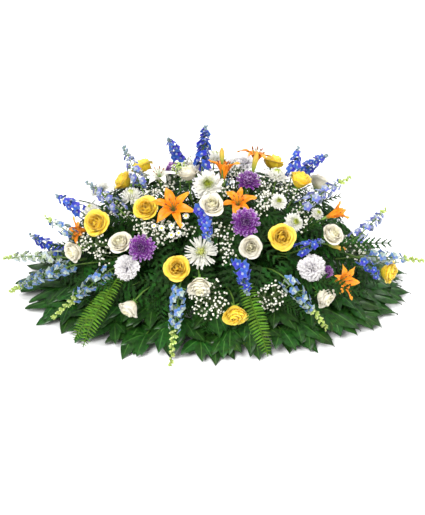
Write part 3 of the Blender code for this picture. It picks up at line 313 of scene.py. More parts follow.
def turned(name, profile, sides, scallop=0.0):
    """A closed round form from (radius, height) pairs, pointed or flat at both ends."""
    points, faces, uv = [], [], []
    for radius, height in profile:
        for j in range(sides):
            angle = 2 * math.pi * j / sides
            reach = radius * (1 - scallop * (j % 2))
            points.append((reach * math.cos(angle), reach * math.sin(angle), height))
            uv.append((j / sides, (height - profile[0][1]) / (profile[-1][1] - profile[0][1])))
    for i in range(len(profile) - 1):
        for j in range(sides):
            a, b = i * sides + j, i * sides + (j + 1) % sides
            faces.append((a, b, b + sides, a + sides))
    faces.append(tuple(range(sides))[::-1])
    faces.append(tuple(range(len(points) - sides, len(points))))
    return bpy.data.objects.new(name, mesh_of(name, points, faces, uv))


print("blade and turned form ready")

# %% [markdown]
# ## Trees of nodes
# Petals in a head, florets up a stem and leaflets along a rib all repeat, so Geometry Nodes
# set them out. A tree is built once and run on many objects, and its result is kept as a
# plain mesh, because the finished model holds no live modifiers. What a tree takes is
# wired to named inputs, and values that vary along a line are carried by its points.

# %% Building and running a tree


def new_tree(name, **inputs):
    """A geometry tree and its named inputs."""
    tree = bpy.data.node_groups.new(name, "GeometryNodeTree")
    tree.interface.new_socket("Geometry", in_out="OUTPUT", socket_type="NodeSocketGeometry")
    tree.interface.new_socket("Geometry", in_out="INPUT", socket_type="NodeSocketGeometry")
    for label, kind in inputs.items():
        tree.interface.new_socket(label, in_out="INPUT", socket_type="NodeSocket" + kind)
    return tree, tree.nodes.new("NodeGroupInput").outputs


def grown(tree, base, **values):
    """Runs a tree on an object, and keeps the result in it as a plain mesh."""
    if base.name not in bpy.context.scene.collection.objects:
        bpy.context.scene.collection.objects.link(base)
    step = base.modifiers.new("grown", "NODES")
    step.node_group = tree
    for item in tree.interface.items_tree:
        if item.in_out == "INPUT" and item.name in values:
            step[item.identifier] = values[item.name]
    graph = bpy.context.evaluated_depsgraph_get()
    result = bpy.data.meshes.new_from_object(
        base.evaluated_get(graph), preserve_all_data_layers=True, depsgraph=graph
    )
    base.modifiers.clear()
    base.data = result
    result.polygons.foreach_set("use_smooth", [True] * len(result.polygons))
    return base


def strands(name, paths, **values):
    """An object of open lines, with named values at their points."""
    mesh = bpy.data.meshes.new(name)
    edges, start = [], 0
    for path in paths:
        edges += [(start + i, start + i + 1) for i in range(len(path) - 1)]
        start += len(path)
    mesh.from_pydata([tuple(p) for path in paths for p in path], edges, [])
    for label, rows in values.items():
        flat = np.array([value for row in rows for value in row], float)
        kind = "FLOAT" if flat.ndim == 1 else "FLOAT_VECTOR"
        layer = mesh.attributes.new(label, kind, "POINT")
        layer.data.foreach_set("value" if flat.ndim == 1 else "vector", flat.ravel())
    return bpy.data.objects.new(name, mesh)

# %% [markdown]
# ### What the trees share
# Every tree puts copies of one object on points, turns each by a little chance, marks it with
# values that its finish reads, and ends by making the copies one plain mesh with a finish.

# %% What several trees share


def loose_values(tree, seed, step, labels):
    """A random value for each point under each label: a tone from 0 to 1, others from -1."""
    index = add(tree, "GeometryNodeInputIndex")
    found = {}
    for shift, label in enumerate(labels):
        least = 0.0 if label == "tone" else -1.0
        found[label] = add(tree, "FunctionNodeRandomValue", {
            "Min": least, "Max": 1.0, "ID": index, "Seed": calc(tree, "ADD", seed, step * shift)})
    return found


def carried(tree, name, kind="FLOAT"):
    """A value that the line carries at its points."""
    return add(tree, "GeometryNodeInputNamedAttribute", {"Name": name}, data_type=kind)


def turned_by(tree, **angles):
    """A rotation from angles about X, Y and Z."""
    turn = add(tree, "ShaderNodeCombineXYZ", angles)
    return add(tree, "FunctionNodeEulerToRotation", {"Euler": turn})


def copies(tree, item, points, turn, size, **more):
    """A copy of an object at each point."""
    shape = add(tree, "GeometryNodeObjectInfo", {"Object": item}).node.outputs["Geometry"]
    return add(tree, "GeometryNodeInstanceOnPoints", {
        "Points": points, "Instance": shape, "Rotation": turn, "Scale": size, **more})


def marked(tree, things, **marks):
    """Gives each copy the values that its finish reads."""
    for name, value in marks.items():
        things = add(tree, "GeometryNodeStoreNamedAttribute", {
            "Geometry": things, "Name": name, "Value": value}, domain="INSTANCE")
    return things


def coated(tree, things, coat):
    """Makes copies a plain mesh and gives it its finish."""
    things = add(tree, "GeometryNodeRealizeInstances", {"Geometry": things})
    return add(tree, "GeometryNodeSetMaterial", {"Geometry": things, "Material": coat})


def tube(tree, line, sides):
    """A closed tube along lines, as thick as the girth that they carry."""
    ring = add(tree, "GeometryNodeCurvePrimitiveCircle", {"Resolution": sides, "Radius": 1.0})
    return add(tree, "GeometryNodeCurveToMesh", {
        "Curve": line, "Profile Curve": ring, "Scale": carried(tree, "girth"),
        "Fill Caps": True})


def together(tree, things):
    """Joins geometries, first one first."""
    both = tree.nodes.new("GeometryNodeJoinGeometry")
    for one in reversed(things):
        tree.links.new(one, both.inputs[0])
    return both.outputs[0]


print("tree helpers ready")

# %% [markdown]
# ### Petals round a head
# In nearly every head each petal turns by one angle from the last and leans out further. The
# tree puts a petal on each point of a line, and a point's share of the line blends its lean,
# foot, size and ring. A small random part of each keeps a head from looking stamped.

# %% Petals in a spiral round a head
SIZE_LOOSE = 0.06

petal_spiral, at = new_tree(
    "petal_spiral", Petal="Object", Count="Int", FirstLean="Float", LastLean="Float",
    FirstFoot="Float", LastFoot="Float", Drop="Float", FirstSize="Float", LastSize="Float",
    Spin="Float", Uneven="Float", FirstRing="Float", LastRing="Float", Seed="Int",
    Finish="Material",
)
t = petal_spiral
index = add(t, "GeometryNodeInputIndex")
share = calc(t, "DIVIDE", index, calc(t, "SUBTRACT", at["Count"], 1.001))
mixes = {}
for label in ("Lean", "Foot", "Size", "Ring"):
    mixes[label] = add(t, "ShaderNodeMix", {
        "Factor": share, "A": at["First" + label], "B": at["Last" + label]})
loose = loose_values(t, at["Seed"], 31.0, ("lean", "spin", "roll", "size", "tone"))
spin = calc(t, "MULTIPLY", index, at["Spin"])
spin = calc(t, "MULTIPLY_ADD", loose["spin"], at["Uneven"], spin)
lean = calc(t, "MULTIPLY_ADD", loose["lean"], at["Uneven"], mixes["Lean"])
roll = calc(t, "MULTIPLY", loose["roll"], at["Uneven"])
size = calc(t, "MULTIPLY_ADD", loose["size"], SIZE_LOOSE, mixes["Size"])
spot = add(t, "ShaderNodeCombineXYZ", {
    "X": calc(t, "MULTIPLY", calc(t, "COSINE", spin), mixes["Foot"]),
    "Y": calc(t, "MULTIPLY", calc(t, "SINE", spin), mixes["Foot"]),
    "Z": calc(t, "SUBTRACT", 0.0, calc(t, "MULTIPLY", share, at["Drop"]))})
feet = add(t, "GeometryNodeMeshLine", {"Count": at["Count"]})
feet = add(t, "GeometryNodeSetPosition", {"Geometry": feet, "Position": spot})
petals = copies(t, at["Petal"], feet, turned_by(t, X=roll, Y=lean, Z=spin), size)
petals = marked(t, petals, tone=loose["tone"], ring=mixes["Ring"])
add(t, "NodeGroupOutput", {"Geometry": coated(t, petals, at["Finish"])})

# %% [markdown]
# ### Florets up a stem
# A flower spike is a line with a floret every few millimetres, each a golden angle on from the
# last. The line is resampled to the number of florets, and those past a share of it are buds.

# %% Florets up a stem, with buds at its end
FLORET_LOOSE = 0.12

floret_spike, at = new_tree(
    "floret_spike", Floret="Object", Bud="Object", Count="Int", BudShare="Float",
    FirstLean="Float", LastLean="Float", Uneven="Float", Seed="Int", Petals="Material",
    Buds="Material",
)
t = floret_spike
share = add(t, "GeometryNodeSplineParameter")
loose = loose_values(t, at["Seed"], 17.0, ("lean", "spin", "size", "tone"))
spin = calc(t, "MULTIPLY", add(t, "GeometryNodeInputIndex"), GOLDEN)
spin = calc(t, "MULTIPLY_ADD", loose["spin"], at["Uneven"], spin)
lean = add(t, "ShaderNodeMix", {"Factor": share, "A": at["FirstLean"], "B": at["LastLean"]})
lean = calc(t, "MULTIPLY_ADD", loose["lean"], at["Uneven"], lean)
spots = add(t, "GeometryNodeMeshToCurve", {0: at["Geometry"]})
spots = add(t, "GeometryNodeResampleCurve", {"Curve": spots, "Count": at["Count"]})
base = add(t, "FunctionNodeAxesToRotation", {
    "Primary Axis": add(t, "GeometryNodeInputTangent"),
    "Secondary Axis": carried(t, "face", "FLOAT_VECTOR")})
turn = add(t, "FunctionNodeRotateRotation", {
    "Rotation": base, "Rotate By": turned_by(t, Y=lean, Z=spin)}, rotation_space="LOCAL")
size = calc(t, "MULTIPLY", carried(t, "size"),
            calc(t, "MULTIPLY_ADD", loose["size"], FLORET_LOOSE, 1.0))
closed = add(t, "FunctionNodeCompare", {"A": share, "B": at["BudShare"]},
             operation="GREATER_THAN")
opened = add(t, "FunctionNodeBooleanMath", {0: closed}, operation="NOT")
kept = []
for thing, chosen, coat in (("Floret", opened, "Petals"), ("Bud", closed, "Buds")):
    florets = copies(t, at[thing], spots, turn, size, Selection=chosen)
    kept.append(coated(t, marked(t, florets, tone=loose["tone"], ring=share), at[coat]))
add(t, "NodeGroupOutput", {"Geometry": together(t, kept)})

# %% [markdown]
# ### Leaflets along a rib
# A frond is a rib with leaflets in pairs, so the tree sets one leaflet out twice, turned to the
# left and to the right of the rib. The sweep blends from the foot, where leaflets stand square
# to the rib, to the tip, where they lean along it.

# %% Leaflets in pairs along a rib
leaflet_rib, at = new_tree(
    "leaflet_rib", Leaflet="Object", Pairs="Int", FirstSweep="Float", LastSweep="Float",
    Uneven="Float", Seed="Int", Finish="Material", Sides="Int",
)
t = leaflet_rib
share = add(t, "GeometryNodeSplineParameter")
rib = add(t, "GeometryNodeMeshToCurve", {0: at["Geometry"]})
spots = add(t, "GeometryNodeResampleCurve", {"Curve": rib, "Count": at["Pairs"]})
under_side = add(t, "ShaderNodeVectorMath", {
    0: carried(t, "face", "FLOAT_VECTOR"), "Scale": -1.0}, operation="SCALE")
base = add(t, "FunctionNodeAxesToRotation", {
    "Primary Axis": add(t, "GeometryNodeInputTangent"), "Secondary Axis": under_side})
sweep = add(t, "ShaderNodeMix", {"Factor": share, "A": at["FirstSweep"], "B": at["LastSweep"]})
kept = []
for shift, hand in ((0.0, 1.0), (10.0, -1.0)):
    seed = calc(t, "ADD", at["Seed"], shift)
    loose = loose_values(t, seed, 1.0, ("swing", "twist", "shade"))
    swing = calc(t, "MULTIPLY_ADD", loose["swing"], at["Uneven"], sweep)
    swing = calc(t, "MULTIPLY", swing, hand)
    twist = calc(t, "MULTIPLY", loose["twist"], at["Uneven"])
    turn = add(t, "FunctionNodeRotateRotation", {
        "Rotation": base, "Rotate By": turned_by(t, X=swing, Y=twist)}, rotation_space="LOCAL")
    leaflets = copies(t, at["Leaflet"], spots, turn, carried(t, "size"))
    tone = calc(t, "MULTIPLY_ADD", loose["shade"], 0.5, 0.5)
    kept.append(marked(t, leaflets, tone=tone))
kept.append(tube(t, rib, at["Sides"]))
add(t, "NodeGroupOutput", {"Geometry": coated(t, together(t, kept), at["Finish"])})

# %% [markdown]
# ### Stems
# A stem is a line with a girth, and what ends in something small, such as a flower of baby's
# breath or a lily's anther, has that set on the line's end by the same tree.

# %% Round stems, with a small flower or anther at each end where one is given
TIP_SIZES = (0.78, 1.15)
TIP_SIDE = (0.31, 0.52, 0.79)  # any slanted direction, so that no line runs along it

round_stems, at = new_tree(
    "round_stems", Tip="Object", TipSize="Float", Sides="Int", Seed="Int", Stem="Material",
    Tips="Material",
)
t = round_stems
index = add(t, "GeometryNodeInputIndex")
line = add(t, "GeometryNodeMeshToCurve", {0: at["Geometry"]})
stem = add(t, "GeometryNodeSetMaterial", {
    "Geometry": tube(t, line, at["Sides"]), "Material": at["Stem"]})
ends = add(t, "GeometryNodeCurveEndpointSelection", {"Start Size": 0, "End Size": 1})
turn = add(t, "FunctionNodeAxesToRotation", {
    "Primary Axis": add(t, "GeometryNodeInputTangent"), "Secondary Axis": TIP_SIDE})
size = add(t, "FunctionNodeRandomValue", {
    "Min": TIP_SIZES[0], "Max": TIP_SIZES[1], "ID": index, "Seed": at["Seed"]})
size = calc(t, "MULTIPLY", size, at["TipSize"])
tone = add(t, "FunctionNodeRandomValue", {
    "Min": 0.0, "Max": 1.0, "ID": index, "Seed": at["Seed"]})
tips = marked(t, copies(t, at["Tip"], line, turn, size, Selection=ends), tone=tone)
tips = coated(t, tips, at["Tips"])
add(t, "NodeGroupOutput", {"Geometry": together(t, (stem, tips))})
print("trees", [group.name for group in bpy.data.node_groups])

# %% [markdown]
# ## Petal finishes
# A fresh petal is a satin sheet of cells: light comes a little way through it, fine veins run
# from foot to edge, and its colour changes from the foot to the tip. Colour and veins follow
# the petal's own UV, and each petal's tone differs a little, as no two take the light alike.

# %% Petals
PETAL_GLOW = 0.35  # how much light scatters inside a petal
PETAL_GLOW_DEPTH = 3 * MM
VEIN_RELIEF = 0.12 * MM
VEIN_STRETCH = 2.2  # how much a vein wanders along a petal
EDGE = 1.5  # a UV past this marks a floret's green stalk


def value_of(tree, name):
    """A value that a copy carries for its finish."""
    return add(tree, "ShaderNodeAttribute", attribute_name=name).node.outputs["Fac"]


def across_and_along(tree):
    uv = add(tree, "ShaderNodeUVMap", uv_map="UVMap")
    return add(tree, "ShaderNodeSeparateXYZ", {0: uv}).node.outputs


def off_middle(tree, across):
    return calc(tree, "ABSOLUTE", calc(tree, "SUBTRACT", across, 0.5))


def petal_finish(name, foot, body, tip, heart=None, heart_end=0.4, stalk=None, veins=22,
                 rough=0.5, foot_end=0.45, vein_dark=0.16, tip_start=0.62, rib=0.0,
                 tones=(0.9, 1.06), hues=0.008, late=None):
    """Satin petal: foot, body and tip colours, then those of the heart, stalk and late florets."""
    material, tree, shader = finish(
        name, Roughness=rough, Subsurface_Weight=PETAL_GLOW, Subsurface_Scale=PETAL_GLOW_DEPTH,
        Subsurface_Radius=(1.0, 1.0, 1.0), Sheen_Weight=0.04, Specular_IOR_Level=0.3)
    split = across_and_along(tree)
    low = ranged(tree, split["Y"], (0.04, foot_end), smooth=True)
    colour = mixed(tree, low, linear(foot), linear(body))
    high = ranged(tree, split["Y"], (tip_start, 1.0), smooth=True)
    colour = mixed(tree, high, colour, linear(tip))
    if heart:
        near = ranged(tree, value_of(tree, "ring"), (0.5 * heart_end, heart_end), (1.0, 0.0))
        colour = mixed(tree, near, colour, linear(heart))
    if late:
        faded = ranged(tree, value_of(tree, "ring"), (0.4, 0.75), (0.0, 0.8))
        colour = mixed(tree, faded, colour, linear(late))
    tone = value_of(tree, "tone")
    grid = add(tree, "ShaderNodeCombineXYZ", {
        "X": calc(tree, "MULTIPLY", split["X"], float(veins)),
        "Y": calc(tree, "MULTIPLY", split["Y"], VEIN_STRETCH),
        "Z": calc(tree, "MULTIPLY", tone, 9.0)})
    vein = add(tree, "ShaderNodeTexNoise", {"Vector": grid, "Scale": 1.0, "Detail": 2.0})
    shade = ranged(tree, vein, (0.35, 0.65), (1.0 - vein_dark, 1.0))
    value = calc(tree, "MULTIPLY", shade, ranged(tree, tone, end=tones))
    groove = ranged(tree, off_middle(tree, split["X"]), (0.0, 0.14), (1.0 - rib, 1.0))
    value = calc(tree, "MULTIPLY", value, groove)
    other = add(tree, "ShaderNodeTexWhiteNoise", {"W": tone}, noise_dimensions="1D")
    hue = ranged(tree, other, end=(0.5 - hues, 0.5 + hues))
    colour = add(tree, "ShaderNodeHueSaturation", {
        "Hue": hue, "Saturation": 1.0, "Value": value, "Color": colour})
    if stalk:
        green = calc(tree, "GREATER_THAN", split["X"], EDGE)
        colour = mixed(tree, green, colour, linear(stalk))
    relief = add(tree, "ShaderNodeBump", {
        "Strength": 0.6, "Distance": VEIN_RELIEF, "Height": vein})
    tree.links.new(colour, shader.inputs["Base Color"])
    tree.links.new(relief, shader.inputs["Normal"])
    return material

# %% [markdown]
# ### A finish for each kind of petal
# The colours are those of the kinds in the picture, from the foot of a petal to its tip, save for
# the painted shade and painted light named below. The numbers after them say how many veins it
# has, how dull it is, how far the foot's colour reaches, and how much the tone differs from petal
# to petal.

# %% Petals of each kind
FINISH = {
    # clear warm yellow with a deeper amber foot, as a yellow hybrid tea rose; the foot is kept
    # pale and the heart petals lighter still, painted light against the shade deep in the rose
    "yellow_rose": petal_finish("yellow_rose_petal", "#F9BE24", "#FFD630", "#FFE24E",
                                heart="#FFD838", heart_end=0.3),
    # ivory, greener in its heart
    "white_rose": petal_finish("ivory_rose_petal", "#D8D09C", "#ECE4CA", "#F3EEDE",
                               heart="#F5EFCB", heart_end=0.3),
    # white, with a cold lilac painted shade on the lower petal that stands for the shadow between
    # the frills
    "carnation": petal_finish("white_carnation_petal", "#B2ABC2", "#E2DFE2", "#F0EDEC",
                              rough=0.65, vein_dark=0.08, foot_end=0.8),
    # white quills round a green-yellow heart
    "white_mum": petal_finish("white_mum_petal", "#D2D884", "#F1F0E6", "#F8F7F1",
                              heart="#BDC936", heart_end=0.42, veins=6, vein_dark=0.06),
    # white all through, with a little green in its heart
    "plain_mum": petal_finish("white_spider_mum_petal", "#D2D894", "#F0EFE6", "#F7F6F0",
                              heart="#C9D05E", heart_end=0.3, veins=6, vein_dark=0.06),
    # violet quills with a pale lilac edge
    "purple_mum": petal_finish("violet_mum_petal", "#3A1450", "#7E2F97", "#C79ADA",
                               heart="#54206A", heart_end=0.22, veins=6, tip_start=0.8,
                               tones=(0.75, 1.15), hues=0.015),
    # orange with an olive throat
    "orange_lily": petal_finish("orange_lily_petal", "#9A6A10", "#F68A0A", "#FBA028",
                                veins=16, foot_end=0.3, rough=0.42, rib=0.22,
                                tones=(0.93, 1.05)),
    # white with a green throat
    "white_lily": petal_finish("white_lily_petal", "#A3B652", "#EAE8DC", "#F2F0E7",
                               veins=16, foot_end=0.34, rough=0.42, rib=0.1),
    # royal blue to violet blue round a white eye
    "blue_floret": petal_finish("royal_blue_floret", "#CBD6F0", "#2A50C0", "#5474DE",
                                stalk="#4C6A2A", veins=7, foot_end=0.22,
                                tones=(0.6, 1.25), hues=0.03),
    # sky blue, nearly white at the eye and toward the tip of the spike
    "sky_floret": petal_finish("sky_blue_floret", "#E6EEF2", "#5B92D8", "#7FAEE8",
                               stalk="#5C7C30", veins=7, foot_end=0.28,
                               tones=(0.5, 1.15), hues=0.03, late="#BFD0B4"),
    # periwinkle, greyer toward the tip of the spike
    "lilac_floret": petal_finish("periwinkle_floret", "#E0E5F0", "#667CCE", "#8E9EDC",
                                 stalk="#6C8C3E", veins=7, foot_end=0.3,
                                 tones=(0.6, 1.15), hues=0.03, late="#A9B2C4"),
    # frosty white with a breath of blue and green
    "frost_floret": petal_finish("frosty_floret", "#E4EBD2", "#C3D2DC", "#D6DEE6",
                                 stalk="#7C9A48", veins=7, foot_end=0.5,
                                 tones=(0.75, 1.1), hues=0.02, late="#B9C896"),
    # tiny white double flowers
    "breath": petal_finish("babys_breath_petal", "#BEC0A4", "#E0DFD0", "#ECEBE0", veins=5,
                           foot_end=0.3, vein_dark=0.05),
    # a yellow button of disc florets
    "button": petal_finish("daisy_disc", "#A9901C", "#E3C22C", "#F0D648", veins=9),
    # rust-brown pollen
    "anther": petal_finish("lily_pollen", "#6E3410", "#8C4814", "#A05A20", veins=9, rough=0.9),
    # green going to orange, as a lily bud colours from its tip
    "lily_bud": petal_finish("lily_bud_skin", "#7F9A32", "#BFA83A", "#E9A238", veins=9,
                             foot_end=0.6, tip_start=0.5),
    # green-yellow closed florets
    "spike_bud": petal_finish("floret_bud_skin", "#7E9C3E", "#A3B85A", "#C3D08C", veins=5,
                              tones=(0.75, 1.15)),
    # grey-blue closed florets, about to open
    "blue_bud": petal_finish("blue_bud_skin", "#6A8450", "#76898A", "#8494B0", veins=5,
                             tones=(0.75, 1.15)),
}
print(len(FINISH), "petal finishes")

# %% [markdown]
# ## Leaf and stem finishes
# Leaves carry a wax skin, so they are glossy over a darker green, with a pale midrib and side
# veins that slant off it. The fern's leaflets are thinner and duller, and stems are smooth.

# %% Leaves and stems
LEAF_RELIEF = 0.6 * MM
SKIN_GRAIN = 9 * MM  # size of the lighter and darker patches of a leaf


def leaf_finish(name, dark, light, rib=None, rough=0.4, slant=9.0, relief=LEAF_RELIEF,
                tones=(0.75, 1.2), wax=0.0, gloss=0.5):
    """Waxy green leaf: two greens in patches, a midrib, and side veins slanting off it."""
    material, tree, shader = finish(name, Roughness=rough, Specular_IOR_Level=gloss,
                                    Coat_Weight=wax, Coat_Roughness=0.3)
    place_on = add(tree, "ShaderNodeTexCoord").node.outputs["Object"]
    patch = add(tree, "ShaderNodeTexNoise", {
        "Vector": place_on, "Scale": 1 / SKIN_GRAIN, "Detail": 3.0})
    colour = mixed(tree, ranged(tree, patch, (0.35, 0.65)), linear(dark), linear(light))
    height = patch
    if rib:
        split = across_and_along(tree)
        aside = off_middle(tree, split["X"])
        middle = ranged(tree, aside, (0.015, 0.05), (1.0, 0.0), smooth=True)
        back = calc(tree, "MULTIPLY_ADD", aside, -1.1, split["Y"])
        wave = calc(tree, "SINE", calc(tree, "MULTIPLY", back, slant * 2 * math.pi))
        line = calc(tree, "MAXIMUM", middle, ranged(tree, wave, (0.80, 1.0), (0.0, 0.45)))
        colour = mixed(tree, calc(tree, "MULTIPLY", line, 0.75), colour, linear(rib))
        height = calc(tree, "MULTIPLY_ADD", wave, 0.35, middle)
    tone = value_of(tree, "tone")
    colour = add(tree, "ShaderNodeHueSaturation", {
        "Hue": ranged(tree, tone, end=(0.485, 0.51)), "Saturation": 1.0,
        "Value": ranged(tree, tone, end=tones), "Color": colour})
    bump = add(tree, "ShaderNodeBump", {"Strength": 0.5, "Distance": relief, "Height": height})
    tree.links.new(colour, shader.inputs["Base Color"])
    tree.links.new(bump, shader.inputs["Normal"])
    return material


# %% Leaves and stems of each kind
LEAF = {
    # broad dark glossy lobes; their pale midrib line is partly the leaf's own paler midrib and
    # partly a painted highlight along the ridge
    "skirt": leaf_finish("waxy_skirt_leaf", "#0A2606", "#1B4810", rib="#45702E", rough=0.5,
                         slant=10.0, relief=0.3 * MM, wax=0.6, gloss=0.1),
    # thin dark leathery pinnae
    "leather": leaf_finish("leatherleaf_pinna", "#0A2505", "#1A440C", rib="#2C5C1A",
                           rough=0.55, slant=5.0, gloss=0.14, tones=(0.5, 1.3)),
    # bright soft leaflets
    "sword": leaf_finish("sword_fern_leaflet", "#2E560C", "#4C7A17", rib="#80A038",
                         rough=0.5, slant=6.0, tones=(0.7, 1.2), gloss=0.15),
    # smooth green stem skin
    "stem": leaf_finish("green_stem_skin", "#3F6A22", "#648E38", rough=0.5, gloss=0.35),
    # calyx and sepals
    "calyx": leaf_finish("rose_calyx_skin", "#4A7A2A", "#769E46", rough=0.5, gloss=0.35),
    # thin darker stems of baby's breath
    "twig": leaf_finish("breath_stem_skin", "#42582E", "#63774A", rough=0.6, gloss=0.3),
}
print(len(LEAF), "leaf finishes")

# %% [markdown]
# ## Foam and tray
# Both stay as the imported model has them. Wet floral foam is a crumb of fine open cells, dark
# green when soaked. The tray is moulded plastic with a fine even grain.

# %% Foam and tray
FOAM_CELL = 0.9 * MM
TRAY_GRAIN = 1.2 * MM


def moulded_finish(name, dark, light, grain, rough, strength):
    """A skin of fine cells over broad patches of two greens."""
    material, tree, shader = finish(name, Roughness=rough)
    place_on = add(tree, "ShaderNodeTexCoord").node.outputs["Object"]
    cells = add(tree, "ShaderNodeTexNoise", {
        "Vector": place_on, "Scale": 1 / grain, "Detail": 4.0})
    patch = add(tree, "ShaderNodeTexNoise", {
        "Vector": place_on, "Scale": 0.05 / grain, "Detail": 2.0})
    bump = add(tree, "ShaderNodeBump", {
        "Strength": strength, "Distance": 0.5 * grain, "Height": cells})
    tree.links.new(mixed(tree, patch, linear(dark), linear(light)), shader.inputs["Base Color"])
    tree.links.new(bump, shader.inputs["Normal"])
    return material


CAD_FINISH = {
    # dark wet crumb that takes no gloss
    "floral_foam": moulded_finish("phenolic_foam_crumb", "#123B1C", "#245A2E", FOAM_CELL, 0.9,
                                  0.9),
    # dark green plastic with a soft gloss
    "saddle_tray": moulded_finish("moulded_polypropylene", "#12331C", "#1A4226", TRAY_GRAIN,
                                  0.4, 0.2),
}
for node, material in CAD_FINISH.items():
    frame["nodes"][node].data.materials.clear()
    frame["nodes"][node].data.materials.append(material)
print("carried over", list(CAD_FINISH))

# %% [markdown]
# ## Joining and setting a bloom
# A head is grown once about its own axis, one radius wide, then copied, turned to face its
# way and set on its stem. All that belongs to one node of the model becomes one mesh.

# %% Heads, stems and pieces
RIM_ANGLE = math.radians(50)  # edges sharper than this keep a crease, as a petal's rim does
TRUNK_LENGTH = 14 * MM  # what of a stem is left out when its way out of the foam is sought
STEM_POINTS = 10
pieces = []


def joined(name, parts):
    first = parts[0]
    for part in parts:
        if part.name not in bpy.context.scene.collection.objects:
            bpy.context.scene.collection.objects.link(part)
    if len(parts) > 1:
        with bpy.context.temp_override(
            active_object=first, object=first, selected_objects=parts,
            selected_editable_objects=parts,
        ):
            bpy.ops.object.join()
    first.name = first.data.name = name
    return first


def put_away(item):
    """Takes a grown shape off the scene, and keeps its mesh for copies."""
    mesh = item.data
    bpy.data.objects.remove(item)
    return mesh


def set_out(mesh, middle, direction, roll, size):
    turn = direction.to_track_quat("Z", "Y").to_matrix().to_4x4()
    copy = mesh.copy()
    copy.transform(Matrix.Translation(middle) @ turn @ Matrix.Rotation(roll, 4, "Z")
                   @ Matrix.Scale(size, 4))
    return bpy.data.objects.new("set", copy)


def piece_of(name, parts, nodes):
    """Joins a finished piece and says what it stands for."""
    piece = joined(name, parts)
    piece.data.set_sharp_from_angle(angle=RIM_ANGLE)
    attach(piece, "root")
    if nodes:
        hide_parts(*nodes)
    pieces.append(piece)

# %% [markdown]
# ### Stems
# Each node of the model has a trunk in a hole of the foam, which is found from its mesh. Every
# bloom's own stem starts there and bends round to meet the bloom from behind.

# %% Trunks and stems


def trunk(node):
    """Where a node's stem ends in the foam, and where it comes out."""
    found = frame["nodes"][node].data.vertices
    points = np.array([vertex.co for vertex in found])
    low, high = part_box("floral_foam")
    inside = points[np.all((points > np.array(low)) & (points < np.array(high)), axis=1)]
    far = np.linalg.norm(inside - points.mean(0), axis=1).argsort()[-3:]
    deep = inside[far].mean(0)
    beyond = points[np.linalg.norm(points - deep, axis=1) > TRUNK_LENGTH]
    near = np.linalg.norm(beyond - deep, axis=1).argsort()[:3]
    return Vector(deep), Vector(beyond[near].mean(0))


def stem_curve(node, foot, back):
    """A smooth stem from the foam to the foot of a bloom, which it meets along its axis."""
    deep, top = trunk(node)
    reach = (foot - top).length
    rising = top + (top - deep).normalized() * (0.3 * reach)
    meeting = foot + back * (0.35 * reach)
    shares = [i / (STEM_POINTS - 1) for i in range(STEM_POINTS)]
    return [deep * (1 - s) ** 3 + rising * (3 * s * (1 - s) ** 2)
            + meeting * (3 * s * s * (1 - s)) + foot * s**3 for s in shares]


def green_stems(paths, girths, sides):
    base = strands("stems", paths, girth=girths)
    return grown(round_stems, base, Sides=sides, Stem=LEAF["stem"], Tips=LEAF["stem"])


def stems_of(paths, girth, sides=6):
    """Stems that grow a little thinner from foot to end."""
    girths = [[girth * (1.15 - 0.3 * i / (len(path) - 1)) for i in range(len(path))]
              for path in paths]
    return green_stems(paths, girths, sides)


# %% Parts of a head


def whorl(petal, coat, **values):
    """Runs the spiral tree with usual values where none is given."""
    usual = dict(Spin=GOLDEN, Uneven=0.06, FirstFoot=0.0, LastFoot=0.05, Drop=0.0,
                 FirstSize=1.0, LastSize=1.0, FirstRing=0.0, LastRing=1.0, Seed=1)
    base = bpy.data.objects.new("whorl", bpy.data.meshes.new("whorl"))
    return grown(petal_spiral, base, Petal=petal, Finish=coat, **{**usual, **values})


def lowered(item, depth):
    item.data.transform(Matrix.Translation((0, 0, -depth)))
    return item


def green_cup(*profile):
    """The calyx or neck that holds a head's petals."""
    cup = turned("cup", profile, 8)
    cup.data.materials.append(LEAF["calyx"])
    return cup


# %% [markdown]
# ## Roses
# A rose opens from a rolled heart through cups that grow wider to outer petals whose rims
# roll back. Seven tiers do that: each has its own petal, rolled tight inside and turned
# outwards at the rim outside. A half-open rose has the same petals, more upright and rolled
# closer, and is then scaled to its full width and stands taller.

# %% Rose heads
SEPAL = blade("sepal", 0.62, 0.13, 4, 2, (120, 95, 70), (0.8, 1, 0.7, 0.4, 0.05), (0.5,))
ROSE_TIERS = (
    # petals, half width, wraps, leans, least and most foot, least and most size
    (4, 0.40, (2.4, 2.4, 2.4, 2.3), (26, 10, 0, -6, -12), (0.0, 0.06), (1.14, 1.17)),
    (5, 0.48, (1.9, 1.9, 1.9, 1.7), (38, 18, 4, -2, 2), (0.10, 0.14), (1.12, 1.15)),
    (5, 0.54, (1.6, 1.6, 1.5, 1.2), (50, 26, 9, 2, 14), (0.13, 0.16), (1.09, 1.12)),
    (5, 0.60, (1.4, 1.3, 1.2, 0.9), (60, 33, 13, 6, 26), (0.14, 0.17), (1.06, 1.09)),
    (6, 0.65, (1.2, 1.1, 1.0, 0.6), (68, 39, 17, 12, 42), (0.14, 0.17), (1.03, 1.06)),
    (6, 0.70, (1.0, 0.9, 0.7, 0.3), (75, 45, 21, 22, 66), (0.14, 0.16), (1.0, 1.03)),
    (5, 0.76, (0.8, 0.7, 0.5, 0.0), (82, 51, 27, 38, 100), (0.13, 0.15), (0.98, 1.02)),
)
ROSE_SPIN = 2 * math.pi * 0.382
TIER_TURN = 2.0  # radians from one tier to the next
ROSE_HEIGHT = 1.36
CLOSED_HUG = 2.2  # how much closer a shut rose rolls its petals


